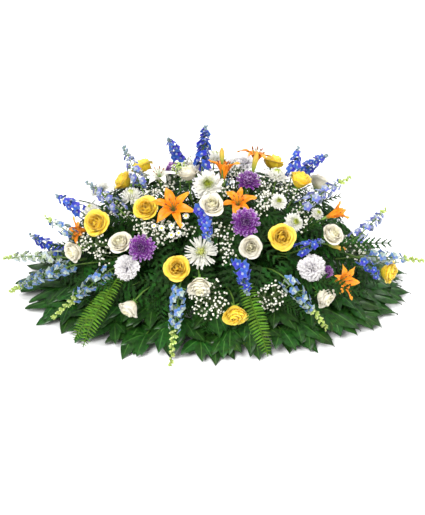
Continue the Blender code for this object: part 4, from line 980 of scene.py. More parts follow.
def rose_head(coat, openness, seed):
    parts = []
    for k, (count, half, wraps, leans, foot, size) in enumerate(ROSE_TIERS):
        held = leans if k == 0 else [lean * openness for lean in leans]
        wraps = [wrap + CLOSED_HUG * (1 - openness) for wrap in wraps]
        petal = blade("rose_petal", 1.22, half, 8, 6, held, (0.3, 0.72, 0.95, 1.0, 0.9, 0.62),
                      wraps, rounded=0.12, wave=(0.035, 1.0))
        ring = k / (len(ROSE_TIERS) - 1)
        tier = whorl(petal, coat, Count=count, Spin=ROSE_SPIN, FirstLean=0.0, LastLean=0.06,
                     FirstFoot=foot[0], LastFoot=foot[1], FirstSize=size[0], LastSize=size[1],
                     FirstRing=ring, LastRing=ring, Uneven=0.08, Seed=seed + 10 * k)
        tier.data.transform(Matrix.Rotation(TIER_TURN * k, 4, "Z"))
        parts.append(tier)
    petals = joined("petals", parts)
    spots = np.array([vertex.co for vertex in petals.data.vertices])
    wide = 1.0 / np.percentile(np.hypot(spots[:, 0], spots[:, 1]), 98)
    tall = ROSE_HEIGHT * (1.6 - 0.6 * openness) / spots[:, 2].max()
    petals.data.transform(Matrix.Diagonal((wide, wide, tall, 1)))
    sepals = whorl(SEPAL, LEAF["calyx"], Count=5, Spin=2 * math.pi / 5, FirstFoot=0.08,
                   LastFoot=0.08, Seed=seed)
    hip = green_cup((0.07, -0.98), (0.13, -0.92), (0.20, -0.80), (0.21, -0.70), (0.12, -0.60))
    return put_away(joined("rose_head", [lowered(petals, 0.68), lowered(sepals, 0.7), hip]))

# %% [markdown]
# ## Carnations
# A carnation is a dome of many fan-shaped petals with notched, frilled edges, held in a long
# green calyx. One frilled petal is spread from upright to flat in a spiral. It opens fully at
# once, so its openness, like a mum's, changes nothing.

# %% Carnation head
FRILLED = blade("frilled_petal", 1.08, 0.50, 6, 12, (4, 6, 8, 14, 26), (0.14, 0.2, 0.42, 0.78, 1),
                (0.9, 0.6, 0.5), rounded=0.14, frill=(0.17, 2.6), teeth=0.05)


def carnation_head(coat, openness, seed):
    petals = whorl(FRILLED, coat, Count=36, FirstLean=0.02, LastLean=1.5, LastFoot=0.12,
                   FirstSize=0.9, LastSize=0.98, Uneven=0.24, Drop=0.06, Seed=seed)
    calyx = green_cup((0.09, -1.1), (0.17, -1.02), (0.2, -0.6), (0.16, -0.4))
    return put_away(joined("carnation_head", [lowered(petals, 0.48), calyx]))

# %% [markdown]
# ## Chrysanthemums
# A football mum is a ball of channelled quills that curve in, more than a hundred of them, in
# the same golden spiral as a sunflower's seeds. Its heart is still green. The spider kind has
# more and much thinner quills that end in a hook.

# %% Mum heads
QUILL = blade("quill", 0.96, 0.115, 5, 2, (34, 16, -4, -26, -50), (0.4, 0.8, 1, 1.1, 1.05, 0.62),
              (1.0, 1.0, 0.9), rounded=0.05)
SPIDER = blade("spider_quill", 0.98, 0.046, 5, 2, (30, 14, 2, -14, -34, -70),
               (0.5, 0.9, 1, 1, 0.95, 0.5), (1.2, 1.2, 0.9))


def mum_head(coat, openness, seed, quill=QUILL, count=160, uneven=0.12, heart_size=0.42):
    petals = whorl(quill, coat, Count=count, FirstLean=0.05, LastLean=1.9, FirstFoot=0.02,
                   LastFoot=0.1, FirstSize=heart_size, LastSize=1.02, Uneven=uneven, Drop=0.1,
                   Seed=seed)
    cup = green_cup((0.07, -0.52), (0.2, -0.44), (0.26, -0.3), (0.2, -0.2))
    return put_away(joined("mum_head", [lowered(petals, 0.1), cup]))


def spider_head(coat, openness, seed):
    return mum_head(coat, openness, seed, SPIDER, 230, 0.16, 0.7)

# %% [markdown]
# ## Lilies
# A lily has three broad tepals and three narrower ones behind them, all rolled back at the
# tip, and six stamens that carry swinging anthers round one pistil.

# %% Lily heads
ANTHER = turned("anther", ((0.004, -0.09), (0.028, -0.06), (0.034, 0.0), (0.028, 0.07),
                           (0.004, 0.1)), 6)
TEPAL_LEANS = (10, 18, 36, 62, 88, 112, 128)
STAMENS = 6
THREAD_GIRTH = 0.014


def lily_head(coat, openness, seed):
    spread = 1.3 * openness - 0.3
    parts = []
    for k, (half, size) in enumerate(((0.26, 1.0), (0.19, 1.03))):
        tepal = blade("tepal", 1.32, half, 12, 6, [lean * spread for lean in TEPAL_LEANS],
                      (0.3, 0.45, 0.7, 0.92, 1, 0.96, 0.82, 0.6, 0.34, 0.03),
                      (1.5, 1.1, 0.8, 0.7, 0.6, 0.3), wave=(0.06, 2.2), thick=0.025)
        foot = 0.07 + 0.02 * k
        tepals = whorl(tepal, coat, Count=3, Spin=2 * math.pi / 3, FirstFoot=foot, LastFoot=foot,
                       FirstSize=size, LastSize=size, Uneven=0.05, Seed=seed + k)
        tepals.data.transform(Matrix.Rotation(math.pi / 3 * k, 4, "Z"))
        parts.append(lowered(tepals, 0.48 + 0.03 * k))
    paths = []
    for k in range(STAMENS + 1):
        angle = 2 * math.pi * k / STAMENS + 0.3
        out, high = (0.26 + 0.04 * (k % 2), 0.78) if k < STAMENS else (0.0, 0.88)
        aside = Vector((math.cos(angle), math.sin(angle), 0))
        paths.append([aside * (out * s**1.6) + Vector((0, 0, high * s - 0.42))
                      for s in (0, 0.25, 0.5, 0.75, 1)])
    threads = strands("filaments", paths, girth=[[THREAD_GIRTH] * 5 for _ in paths])
    parts.append(grown(round_stems, threads, Tip=ANTHER, TipSize=1.0, Sides=5, Seed=seed,
                       Stem=FINISH["spike_bud"], Tips=FINISH["anther"]))
    parts.append(green_cup((0.05, -0.76), (0.08, -0.7), (0.11, -0.5), (0.08, -0.42)))
    return put_away(joined("lily_head", parts))


LILY_BUD = turned("lily_bud", ((0.02, -0.52), (0.07, -0.46), (0.12, -0.25), (0.15, 0.05),
                               (0.135, 0.28), (0.07, 0.46), (0.012, 0.52)), 12, scallop=0.1)
LILY_BUD.data.materials.append(FINISH["lily_bud"])
print("heads can be grown")

# %% [markdown]
# ## Setting the blooms
# Each bloom has the column, row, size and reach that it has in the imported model, so a finished
# head covers the same place. A few differ a little in size, reach, facing or openness, where
# the render and the picture were set side by side. What ends in "behind" is turned half round.

# %% Where the blooms stand
# Node name: its blooms, each as (column, row, radius in mm, where it faces, reach, openness).
# Where it faces is right, up and toward the eye, and None means straight out of the mound.
ROSES = {
    "yellow_roses_left": [
        (124, 181, 22, (-0.75, 0.55, 0.3), 1.02, 0.8),
        (146, 208, 25, (-0.1, 0.25, 0.95), 1.04, 1), (96, 223, 27, (-0.3, 0.1, 0.95), 1.05, 1),
    ],
    "yellow_roses_front": [
        (177, 268, 26, (-0.05, 0.05, 1), 1.03, 1), (235, 313, 24, (0.05, -0.7, 0.7), 1.06, 0.7),
    ],
    "yellow_roses_right": [
        (282, 237, 27, (0.05, -0.05, 1), 1.12, 1), (300, 181, 23, (0.3, 0.8, 0.4), 1.04, 0.75),
    ],
    "yellow_rose_end": [(388, 272, 23, (0.85, -0.2, 0.5), 1.05, 0.8)],
    "white_roses_crest": [
        (188, 174, 22, (-0.1, 0.9, 0.4), 1.04, 0.85),
        (212, 205, 23, (0.1, 0.35, 0.9), 1.14, 0.85),
    ],
    "white_roses_left": [
        (120, 242, 24, (-0.25, 0.45, 0.85), 1.04, 1),
        (75, 251, 21, (-0.6, -0.35, 0.7), 1.04, 0.7),
    ],
    "white_roses_low": [
        (130, 307, 21, (-0.55, -0.75, 0.35), 1.03, 0.65),
        (199, 285, 23, (0, -0.75, 0.65), 1.05, 0.7),
    ],
    "white_rose_front": [(251, 247, 23, (0.05, -0.1, 1), 1.03, 1)],
    "white_roses_right": [
        (324, 296, 22, (0.65, -0.55, 0.5), 1.04, 0.7),
        (332, 235, 23, (0.4, 0.4, 0.8), 1.03, 0.85),
    ],
    "yellow_roses_behind": [(150, 216, 25, None, 1.03, 1), (292, 232, 26, None, 1.03, 1)],
    "white_roses_behind": [(236, 262, 24, None, 1.03, 0.9), (98, 254, 24, None, 1.03, 0.85)],
}
CARNATIONS = {
    "white_carnation_left": [(125.5, 268.5, 25, (-0.2, -0.1, 1), 1.02, 1)],
    "white_carnation_right": [(313.5, 268.5, 27, (0.2, 0, 1), 1.02, 1)],
    "white_carnations_crest": [
        (203, 166, 19, (0.1, 0.8, 0.5), 1, 1), (246, 160, 20, (0.2, 0.85, 0.5), 1.04, 1),
    ],
    "white_carnation_behind": [(188, 240, 25, None, 1.02, 1)],
}
WHITE_MUMS = {
    "white_mum_crest": [(208, 184, 37, (-0.05, 0.2, 0.97), 1.06, 1)],
    "white_mum_front": [(201, 252, 37, (0, 0.1, 1), 1.03, 1)],
    "white_mums_left": [
        (131, 195, 26, (-0.05, 0.75, 0.6), 1.04, 1), (91, 209, 20, (-0.4, 0.8, 0.4), 1.02, 1),
    ],
    "white_mums_right": [
        (277, 173, 27, (0.15, 0.85, 0.4), 1.06, 1), (279, 201, 20, (0.1, 0.3, 0.9), 1.06, 1),
        (295, 222, 25, (0.4, 0.2, 0.85), 0.95, 1), (318, 213, 17, (0.4, 0.5, 0.7), 1.02, 1),
    ],
    "white_mums_behind": [(214, 208, 34, None, 1.02, 1), (340, 250, 28, None, 1.02, 1)],
}
PURPLE_MUMS = {
    "purple_mum_left": [(141, 247.5, 33, (-0.1, 0.05, 1), 1.05, 1)],
    "purple_mums_crest": [
        (246, 222, 35, (0.05, 0.1, 1), 1.07, 1), (249, 178, 31, (0.15, 0.75, 0.6), 1.04, 1),
    ],
    "purple_mum_end": [(328, 272.5, 17, (0.4, -0.1, 0.9), 1, 1)],
    "purple_mum_behind": [(262, 250, 32, None, 1.02, 1)],
}
LILIES = {
    "orange_lily_front": [(173, 207, 48, (-0.02, 0.35, 0.93), 1.06, 1)],
    "orange_lily_crest": [(224, 170, 44, (0.05, 0.97, 0.2), 1.1, 0.75)],
    "orange_lily_mid": [(238, 202, 40, (0.02, 0.6, 0.8), 1.01, 1)],
    "orange_lilies_right": [
        (334, 214, 38, (0.9, 0.4, 0.2), 1.11, 0.55), (343, 281, 42, (0.7, 0.05, 0.75), 1.03, 0.8),
    ],
    "orange_lily_left": [(80, 231, 36, (-0.85, -0.1, 0.5), 0.98, 0.8)],
    "white_lily_crest": [(159, 175, 38, (-0.1, 0.65, 0.7), 1.05, 0.9)],
    "orange_lily_behind": [(170, 190, 42, None, 1.06, 1)],
}
# A bud shares its lily's node: (column, row, length in mm, where it points, reach)
LILY_BUDS = {
    "orange_lily_crest": [(222, 156, 36, (-0.02, 1, 0.1), 1.22)],
    "orange_lily_mid": [(255, 162, 46, (0.2, 0.95, 0.15), 1.12)],
    "orange_lilies_right": [(337, 247, 40, (0.9, -0.25, 0.3), 1)],
}

# %% [markdown]
# ### Spikes, clouds and fronds
# What is long has two ends. What hangs over the skirt is given by its height above the table,
# since no mound lies under it there.

# %% Where spikes, clouds and fronds stand
# Flower spikes: ((column, row, reach) at the lowest floret, the same at the tip, width in mm
# from the stem to a petal tip).
# A negative reach is a height above the table in mm, for what hangs over the skirt.
BLUE_SPIKES = {
    "blue_delphiniums_middle": [
        ((202, 168, 1.04), (206, 127, 1.3), 17), ((202, 208, 1.02), (209, 240, 1.13), 17),
    ],
    "blue_delphiniums_right": [
        ((291, 178, 1), (298, 148, 1.25), 15), ((299, 250, 1), (322, 241, 1.04), 15),
        ((362, 259, 1), (378, 278, 1.09), 13),
    ],
    "blue_delphinium_front": [((239, 260, 1), (247, 293, 1.08), 17)],
    "blue_delphiniums_left": [
        ((62, 253, 0.9), (31, 235, 1.08), 15), ((84, 214, 0.98), (57, 196, 1.2), 15),
    ],
    "blue_delphiniums_behind": [
        ((120, 226, 1), (96, 190, 1.2), 15), ((252, 214, 1), (262, 176, 1.2), 15),
    ],
}
PALE_SPIKES = {
    "pale_delphiniums_upper_left": [
        ((141, 187, 1), (124, 147, 1.25), 17), ((122, 212, 1), (88, 183, 1.2), 17),
    ],
    "pale_delphiniums_upper_right": [
        ((302, 207, 1), (349, 178, 1.25), 17), ((355, 239, 1), (385, 210, 1.2), 17),
    ],
    "pale_delphinium_front": [((180, 285, 1), (171, 364, -21.5), 17)],
    "pale_delphinium_low_left": [((110, 270, 0.94), (54, 317, -41), 17)],
    "pale_delphiniums_left": [
        ((74, 265, 0.98), (11, 291, -30), 17), ((60, 257, 0.94), (5, 258, 1.15), 15),
        ((74, 236, 0.98), (46, 217, 1.15), 15),
    ],
    "pale_delphinium_low_right": [((286, 279, 1), (326, 328, -33.5), 17)],
    "pale_delphinium_end": [((366, 256, 1), (422, 261, 1.25), 17)],
    "pale_delphiniums_behind": [
        ((204, 280, 1), (196, 350, -27.5), 17), ((300, 262, 1), (352, 300, -41.5), 17),
    ],
}
# Baby's breath: (column, row, spread in mm, reach)
BABYS_BREATH = {
    "babys_breath_left": [
        (151, 230, 27, 0.98), (88, 240, 26, 1.02), (173, 172, 24, 0.96), (170, 228, 24, 1),
    ],
    "babys_breath_front": [(209, 302, 34, 1.06), (221, 232, 24, 1)],
    "babys_breath_right": [(273, 297, 28, 0.98), (268, 196, 20, 1.04), (361, 250, 22, 0.94)],
    "babys_breath_behind": [(240, 232, 28, 1.02), (150, 262, 28, 1)],
}
# Sword fern: ((column, row, reach) at the lowest leaflet, the same at the tip, half width in mm)
SWORD_FERNS = {
    "sword_fern_left": [
        ((117, 279, 0.98), (83, 347, -40), 23), ((110, 290, 0.95), (74, 340, -34), 20),
    ],
    "sword_fern_right": [((246, 286, 0.95), (268, 356, -22), 24)],
}
# Leatherleaf runs out from the foam: (column, row, reach) at its tip, half width in mm
LEATHERLEAF = {
    "leatherleaf_left": [
        ((118, 218, 1.02), 38), ((98, 287, 1.13), 38), ((52, 246, 1), 36), ((104, 196, 0.93), 36),
        ((78, 282, 1.01), 36),
    ],
    "leatherleaf_front": [
        ((170, 246, 0.94), 36), ((206, 330, 1.02), 40), ((150, 304, 1.02), 38),
        ((176, 318, 1.1), 36), ((188, 196, 0.92), 34), ((236, 250, 0.8), 36),
        ((196, 262, 0.75), 36),
    ],
    "leatherleaf_right": [
        ((268, 210, 0.94), 34), ((284, 280, 0.89), 38), ((388, 243, 1.32), 38),
        ((322, 222, 1.05), 38), ((300, 312, 1.16), 38), ((360, 292, 1.33), 38),
        ((262, 320, 0.73), 36), ((338, 196, 1.12), 34), ((270, 262, 0.8), 36),
        ((254, 186, 0.92), 34),
    ],
    "leatherleaf_behind": [
        ((176, 262, 1.02), 40), ((262, 292, 1), 40), ((356, 236, 0.98), 40),
        ((130, 288, 0.81), 40), ((240, 322, 1.15), 34), ((150, 300, 0.89), 38),
        ((280, 306, 0.72), 38), ((212, 262, 0.98), 36), ((300, 226, 0.87), 36),
        ((110, 240, 0.95), 36), ((316, 290, 1.04), 40),
    ],
}

# %% [markdown]
# ### Growing and setting the heads
# A head is grown once for each kind, finish and openness, with two seeds, and each bloom of
# that kind is a turned copy of it on a stem of its own.

# %% Grow and set the heads
ROSE_COATS = {"yellow": "yellow_rose", "white": "white_rose"}
LILY_COATS = {"orange": "orange_lily", "white": "white_lily"}
KINDS = (
    (ROSES, rose_head, ROSE_COATS),
    (CARNATIONS, carnation_head, {"white": "carnation"}),
    (WHITE_MUMS, mum_head, {"white": "white_mum"}),
    (PURPLE_MUMS, mum_head, {"purple": "purple_mum"}),
    (LILIES, lily_head, LILY_COATS),
)
STEM_FOOT = {rose_head: 0.9, carnation_head: 1.0, mum_head: 0.45, spider_head: 0.45,
             lily_head: 0.7}
SPIDER_NODES = ("white_mum_front", "white_mums_left")
STEM_GIRTH = 1.9 * MM
ANY_TURN = 6.28  # radians, a full turn
grown_heads = {}


def sided(node, *vectors):
    """The vectors as they are, or turned half round for a node that stands behind."""
    return [turned_behind(v) for v in vectors] if node.endswith("behind") else vectors


def head_of(make, coat, openness, seed):
    """A head of its kind, grown once for each openness and seed."""
    key = (make.__name__, coat, round(openness, 2), seed)
    if key not in grown_heads:
        grown_heads[key] = make(FINISH[coat], openness, seed)
    return grown_heads[key]


def bloom(node, mesh, spot, faces, roll, size, stem_share):
    """A copy of a head or bud at its spot, and the stem from the foam up to it."""
    middle = place(*spot)
    middle, direction = sided(node, middle, facing(faces, middle))
    foot = middle - direction * (stem_share * size)
    return set_out(mesh, middle, direction, roll, size), stem_curve(node, foot, -direction)


# %% Set the blooms
for table, make, coats in KINDS:
    for node, members in table.items():
        form, coat = make, coats[node.split("_")[0]]
        if node in SPIDER_NODES:
            form, coat = spider_head, "plain_mum"
        set_up = []
        for k, (column, row, radius, faces, reach, openness) in enumerate(members):
            mesh = head_of(form, coat, openness, 1 + k % 2)
            set_up.append(bloom(node, mesh, (column, row, reach), faces,
                                draw.uniform(0, ANY_TURN), radius * MM, STEM_FOOT[form]))
        for column, row, length, faces, reach in LILY_BUDS.get(node, []):
            set_up.append(bloom(node, LILY_BUD.data, (column, row, reach), faces, 0,
                                length * MM, 0.5))
        heads, paths = zip(*set_up)
        piece_of(node + ".grown", [stems_of(paths, STEM_GIRTH), *heads], [node])
print(len(pieces), "pieces of blooms,", sum(len(p.data.polygons) for p in pieces), "faces")

# %% [markdown]
# ## Delphinium spikes
# Florets stand all the way round a stem on short stalks, smaller toward the tip, where they
# are still closed. One floret of five petals round a pale eye is repeated by the tree.

# %% One floret and one bud
FLORET_REACH = 12.0  # the mesh below is in mm, and this far from stem to petal tip
OFF_PETAL = 2.0  # a UV past the petal's edge marks the green stalk


def floret_of(petal_length, stalk_length):
    """A floret of five petals, an eye and a stalk, in mm."""
    petal = blade("floret_petal", petal_length, 0.5 * petal_length, 3, 2, (62, 80, 86, 66),
                  (0.3, 0.85, 1, 0.55), (-0.2, 0.3, 0.5), rounded=0.25, thick=0.5)
    petals = whorl(petal, FINISH["sky_floret"], Count=5, Spin=2 * math.pi / 5, FirstFoot=0.8,
                   LastFoot=0.8, Uneven=0.12, Seed=3)
    eye = turned("eye", ((0.5, stalk_length - 0.6), (1.7, stalk_length + 1.4),
                         (0.4, stalk_length + 2.8)), 5)
    stalk = turned("stalk", ((0.5, 0.0), (0.9, stalk_length)), 4)
    for part, mark in ((stalk, (OFF_PETAL, 0.5)), (eye, (0.5, 0.0))):
        for spot in part.data.uv_layers["UVMap"].data:
            spot.uv = mark
    floret = joined("floret", [lowered(petals, -stalk_length), eye, stalk])
    floret.data.materials.clear()
    return floret


FLORETS = {"blue": floret_of(9.6, 8.6), "pale": floret_of(7.4, 9.4)}
BUD_FAN = (-0.75, 0.0, 0.75)  # the three buds of a group lean apart by this
buds = []
for lean in BUD_FAN:
    bud = turned("floret_bud", ((0.5, 0.0), (0.7, 2.0), (2.1, 3.6), (2.5, 6.0), (1.7, 8.4),
                                (0.3, 9.6)), 6)
    bud.data.transform(Matrix.Rotation(lean, 4, "X") @ Matrix.Rotation(0.3 * lean, 4, "Y"))
    buds.append(bud)
BUD = joined("floret_bud", buds)
BUD.data.materials.clear()
print("floret", len(FLORETS["blue"].data.polygons), "faces")

# %% [markdown]
# ### Setting the spikes
# Each spike is a slightly bowed line from its lowest floret to its tip. Its stem comes up from
# under the greens, and the pale ones that hang over the skirt end in green buds.

# %% Spikes
FLORET_SPACING = {"blue": 4.2 * MM, "pale": 4.9 * MM}
SPIKE_GIRTH = 1.6 * MM
SPIKE_STEPS = 12
SPIKE_TAPER = 0.45  # how much smaller the last floret is
BOW = 0.06
FLORET_COATS = {"pale_delphiniums_upper_left": "lilac_floret",
                "pale_delphiniums_upper_right": "lilac_floret"}
FROSTED = ("pale_delphiniums_left", 1)
BUDS_FROM = {"blue": 0.84, "pale": 0.74}
GREEN_ENDS = {"pale_delphinium_front": 0.56, "pale_delphinium_low_left": 0.55,
              "pale_delphinium_low_right": 0.58, "pale_delphinium_end": 0.66,
              "pale_delphiniums_left": 0.76, "pale_delphiniums_upper_right": 0.78}


def parabola(a, b, c, count):
    """A curve from a to c that passes b half way."""
    control = b * 2 - (a + c) / 2
    shares = [i / count for i in range(count + 1)]
    return [a * (1 - s) ** 2 + control * (2 * s * (1 - s)) + c * s**2 for s in shares]


def under(path):
    """The way back from a path's start that dips below the greens."""
    return ((path[0] - path[1]).normalized() - straight_out(path[0]) * 0.8).normalized()


def spike_path(node, low, tip):
    start, end = sided(node, place(*low), place(*tip))
    middle = start.lerp(end, 0.5)
    middle += straight_out(middle) * (BOW * (end - start).length)
    return parabola(start, middle, end, SPIKE_STEPS)


def floret_coat(node, k):
    if node.startswith("blue"):
        return "blue_floret"
    return "frost_floret" if (node, k) == FROSTED else FLORET_COATS.get(node, "sky_floret")


# %% Set the spikes
for table in (BLUE_SPIKES, PALE_SPIKES):
    for node, members in table.items():
        shade = node.split("_")[0]
        parts, paths, girths = [], [], []
        for k, (low, tip, wide) in enumerate(members):
            path = spike_path(node, low, tip)
            length = sum((q - p).length for p, q in zip(path, path[1:]))
            steps = range(len(path))
            sizes = [wide / FLORET_REACH * MM * (1 - SPIKE_TAPER * (i / SPIKE_STEPS) ** 1.5)
                     for i in steps]
            face = tuple((path[1] - path[0]).orthogonal().normalized())
            line = strands("spike", [path], size=[sizes], face=[[face] * len(path)])
            parts.append(grown(
                floret_spike, line, Floret=FLORETS[shade], Bud=BUD,
                Count=round(length / FLORET_SPACING[shade]),
                BudShare=GREEN_ENDS.get(node, BUDS_FROM[shade]), FirstLean=1.45, LastLean=0.5,
                Uneven=0.3, Seed=draw.randrange(1000), Petals=FINISH[floret_coat(node, k)],
                Buds=FINISH["spike_bud" if node in GREEN_ENDS else "blue_bud"]))
            paths += [stem_curve(node, path[0], under(path)), path]
            girths.append([SPIKE_GIRTH] * STEM_POINTS)
            girths.append([SPIKE_GIRTH * (1 - 0.07 * i) for i in steps])
        base = green_stems(paths, girths, 6)
        piece_of(node + ".grown", [base] + parts, [node])
print("spikes", pieces[-1].name, len(pieces[-1].data.polygons), "faces")

# %% [markdown]
# ## Baby's breath
# A cloud of tiny double flowers at the ends of thin branching stems. The branching is drawn
# from a fixed seed, and the tree gives each line its girth and each end its flower. Some clouds
# stand between the blooms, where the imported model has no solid.

# %% Clouds of baby's breath
BREATH_SIZE = 2.75 * MM  # radius of one flower
BREATH_COUNT = 64
BREATH_SPREAD = 27  # the spread in mm that takes that count
BREATH_TWIG = 0.35 * MM
BREATH_FLOWER = turned("breath_flower", ((0.3, -0.7), (0.95, -0.15), (0.9, 0.4), (0.25, 0.8)),
                       10, scallop=0.28)
BOUGHS = 7
BETWEEN_CROWD = 0.62

# %% Clouds between the blooms
BREATH_BETWEEN = {
    "babys_breath_between_left": [
        (146, 192, 20, 0.98), (112, 205, 18, 0.95), (163, 186, 20, 0.98), (140, 226, 20, 0.98),
        (101, 254, 20, 0.98), (186, 230, 18, 0.97), (127, 214, 16, 0.95),
    ],
    "babys_breath_between_right": [
        (262, 182, 20, 1.0), (288, 188, 20, 1.0), (304, 208, 18, 0.98), (226, 188, 16, 0.98),
        (262, 206, 18, 0.98), (345, 240, 18, 0.96), (226, 256, 18, 0.98), (232, 172, 18, 1.0),
        (306, 222, 16, 0.96),
    ],
    "babys_breath_between_behind": [
        (188, 190, 22, 0.98), (236, 200, 22, 0.98), (290, 206, 20, 0.98), (140, 206, 22, 0.98),
        (196, 236, 22, 0.98), (326, 262, 20, 0.98), (110, 270, 20, 0.98), (250, 278, 22, 0.98),
    ],
}


# %% Branching


def cloud(foot, out, spread, count):
    """Lines from a foot to its boughs, and from each bough to its own flowers."""
    side = out.orthogonal().normalized()
    other = out.cross(side)

    def spot(least, most, lean):
        tilt, turn = lean * math.sqrt(draw.random()), draw.uniform(0, 2 * math.pi)
        aside = side * math.cos(turn) + other * math.sin(turn)
        way = out * math.cos(tilt) + aside * math.sin(tilt)
        return way * (spread * draw.uniform(least, most))

    forks = [foot + spot(0.4, 0.75, 1.3) for _ in range(BOUGHS)]
    lines = [[foot, foot.lerp(fork, 0.5) + out * (0.08 * spread), fork] for fork in forks]
    girths = [[2.2 * BREATH_TWIG, 1.8 * BREATH_TWIG, 1.4 * BREATH_TWIG]] * BOUGHS
    for _ in range(count):
        end = foot + spot(0.75, 1.35, 1.75)
        fork = min(forks, key=lambda f: (f - end).length + draw.uniform(0, 0.3) * spread)
        lines.append([fork, fork.lerp(end, 0.55) + out * (0.06 * spread), end])
        girths.append([1.3 * BREATH_TWIG, BREATH_TWIG, 0.8 * BREATH_TWIG])
    return lines, girths


def flowered(name, lines, girths, seed, stem, tips):
    return grown(round_stems, strands(name, lines, girth=girths), Tip=BREATH_FLOWER,
                 TipSize=BREATH_SIZE, Sides=3, Seed=seed, Stem=LEAF[stem], Tips=FINISH[tips])


def breath(node, members, rooted, crowd=1.0):
    """Clouds for a piece, whose stems go down where those of the rooted node do."""
    lines, girths = [], []
    for column, row, spread, reach in members:
        front = place(column, row, reach)
        out = straight_out(front)
        foot, out = sided(node, front - out * (0.7 * spread * MM), out)
        count = round(crowd * BREATH_COUNT * (spread / BREATH_SPREAD) ** 2)
        found = cloud(foot, out, spread * MM, count)
        lines += found[0] + [stem_curve(rooted, foot, -out)[::-1]]
        girths += found[1] + [[3.2 * BREATH_TWIG] * STEM_POINTS]
    return flowered("breath", lines, girths, 5, "twig", "breath")


for node, members in BABYS_BREATH.items():
    piece_of(node + ".grown", [breath(node, members, node)], [node])
for name, members in BREATH_BETWEEN.items():
    node = "babys_breath_" + name.split("_")[-1]
    piece_of(name, [breath(name, members, node, BETWEEN_CROWD)], [])
print("baby's breath", pieces[-1].name, len(pieces[-1].data.polygons), "faces")

# %% [markdown]
# ## Daisies and green buds
# Among the baby's breath stand a few small daisies with a yellow button, and a tuft of closed
# green buds near the crest. They are too small for solids of their own, so they're only here.

# %% Small daisies and buds
DAISIES = ((162.5, 219), (161.6, 228), (171.4, 226), (182, 225), (171.4, 235), (178.6, 233),
           (186, 216), (154, 226))
DAISY_RADIUS = 6.5 * MM
DAISY_REACH = 1.03
DAISY_STEM = 0.8 * MM
TUFT_SPOT = (178.6, 164, 1.09)
TUFT_SPREAD = 15 * MM
TUFT_BUDS = 46
TUFT_STEM = 1.0 * MM
ROOTED = "babys_breath_left"  # their stems go down where this node's do

ray = blade("ray", 0.8, 0.17, 3, 2, (84, 92, 70), (0.5, 1, 0.95, 0.5), (-0.3,), thick=0.05)
daisy = whorl(ray, FINISH["plain_mum"], Count=11, Spin=2 * math.pi / 11, FirstFoot=0.22,
              LastFoot=0.22, FirstRing=1.0, Uneven=0.1, Seed=2)
disc = turned("disc", ((0.1, -0.1), (0.34, -0.04), (0.36, 0.08), (0.2, 0.2), (0.05, 0.23)), 8)
disc.data.materials.append(FINISH["button"])
daisy = put_away(joined("daisy", [daisy, disc]))
set_daisies, paths = [], []
for column, row in DAISIES:
    middle = place(column, row, DAISY_REACH)
    direction = (straight_out(middle) + TOWARD * 0.6).normalized()
    set_daisies.append(set_out(daisy, middle, direction, draw.uniform(0, ANY_TURN),
                               DAISY_RADIUS * draw.uniform(0.85, 1.15)))
    paths.append(stem_curve(ROOTED, middle - direction * MM, -direction))
piece_of("daisies", [stems_of(paths, DAISY_STEM, 4)] + set_daisies, [])
front = place(*TUFT_SPOT)
out = straight_out(front)
foot = front - out * TUFT_SPREAD
lines, girths = cloud(foot, out, TUFT_SPREAD, TUFT_BUDS)
tuft = flowered("tuft", lines + [stem_curve(ROOTED, foot, -out)[::-1]],
                girths + [[TUFT_STEM] * STEM_POINTS], 9, "stem", "spike_bud")
piece_of("green_buds_crest", [tuft], [])
print("daisies", len(DAISIES))

# %% [markdown]
# ## Ferns
# Sword fern has a long rib with narrow leaflets set close in two ranks. Leatherleaf is a
# triangle of toothed pinnae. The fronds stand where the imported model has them, the sword ferns
# a little narrower.

# %% Fronds
SWORD_LEAFLET = blade("sword_leaflet", 1.0, 0.10, 4, 2, (-30, -8, 16, 44),
                      (0.9, 1, 0.95, 0.75, 0.15), (-0.5, -0.3))
PINNA = blade("pinna", 1.0, 0.2, 6, 2, (0, 3, 8, 16), (0.35, 1, 0.42, 0.92, 0.36, 0.55, 0.03),
              (-0.5,))
FROND_ROOT = Vector((0, 0, 70)) * MM
FROND_GIRTH = 1.3 * MM
SWORD_RIB = 2.2 * MM
LEATHER_RIB = 2.4 * MM
SWORD_PAIRS = 25
LEATHER_PAIRS = 17
SWORD_SWEEP = (1.55, 1.15)
LEATHER_SWEEP = (1.15, 0.75)


def arched(start, end, rise, count=12):
    """A line from start to end that arches out from the mound."""
    out = (straight_out(start) + straight_out(end)).normalized()
    middle = start.lerp(end, 0.5) + out * (rise * (end - start).length)
    return parabola(start, middle, end, count)


def fronds(name, lines, half_widths, outline, leaflet, pairs, sweep, coat, girth):
    """Fronds along lines, their leaflets as long as the outline says at each share."""
    count = len(lines[0])
    shares = [i / (count - 1) for i in range(count)]
    sizes = [[half * MM * outline(share) for share in shares] for half in half_widths]
    faces = [[tuple(straight_out(p)) for p in line] for line in lines]
    girths = [[girth * (1 - 0.5 * share) for share in shares]] * len(lines)
    base = strands(name, lines, size=sizes, face=faces, girth=girths)
    return grown(leaflet_rib, base, Leaflet=leaflet, Pairs=pairs, FirstSweep=sweep[0],
                 LastSweep=sweep[1], Uneven=0.1, Seed=draw.randrange(1000), Finish=coat, Sides=5)


def leather_fronds(lines, half_widths, pairs, girth):
    """Leatherleaf fronds, which narrow evenly to their tips."""
    return fronds("leather", lines, half_widths, lambda share: 1.04 - 0.7 * share, PINNA, pairs,
                  LEATHER_SWEEP, LEAF["leather"], girth)


def sword_outline(share):
    return math.sin(math.pi * min(1.0, 0.2 + 0.79 * share)) ** 0.55


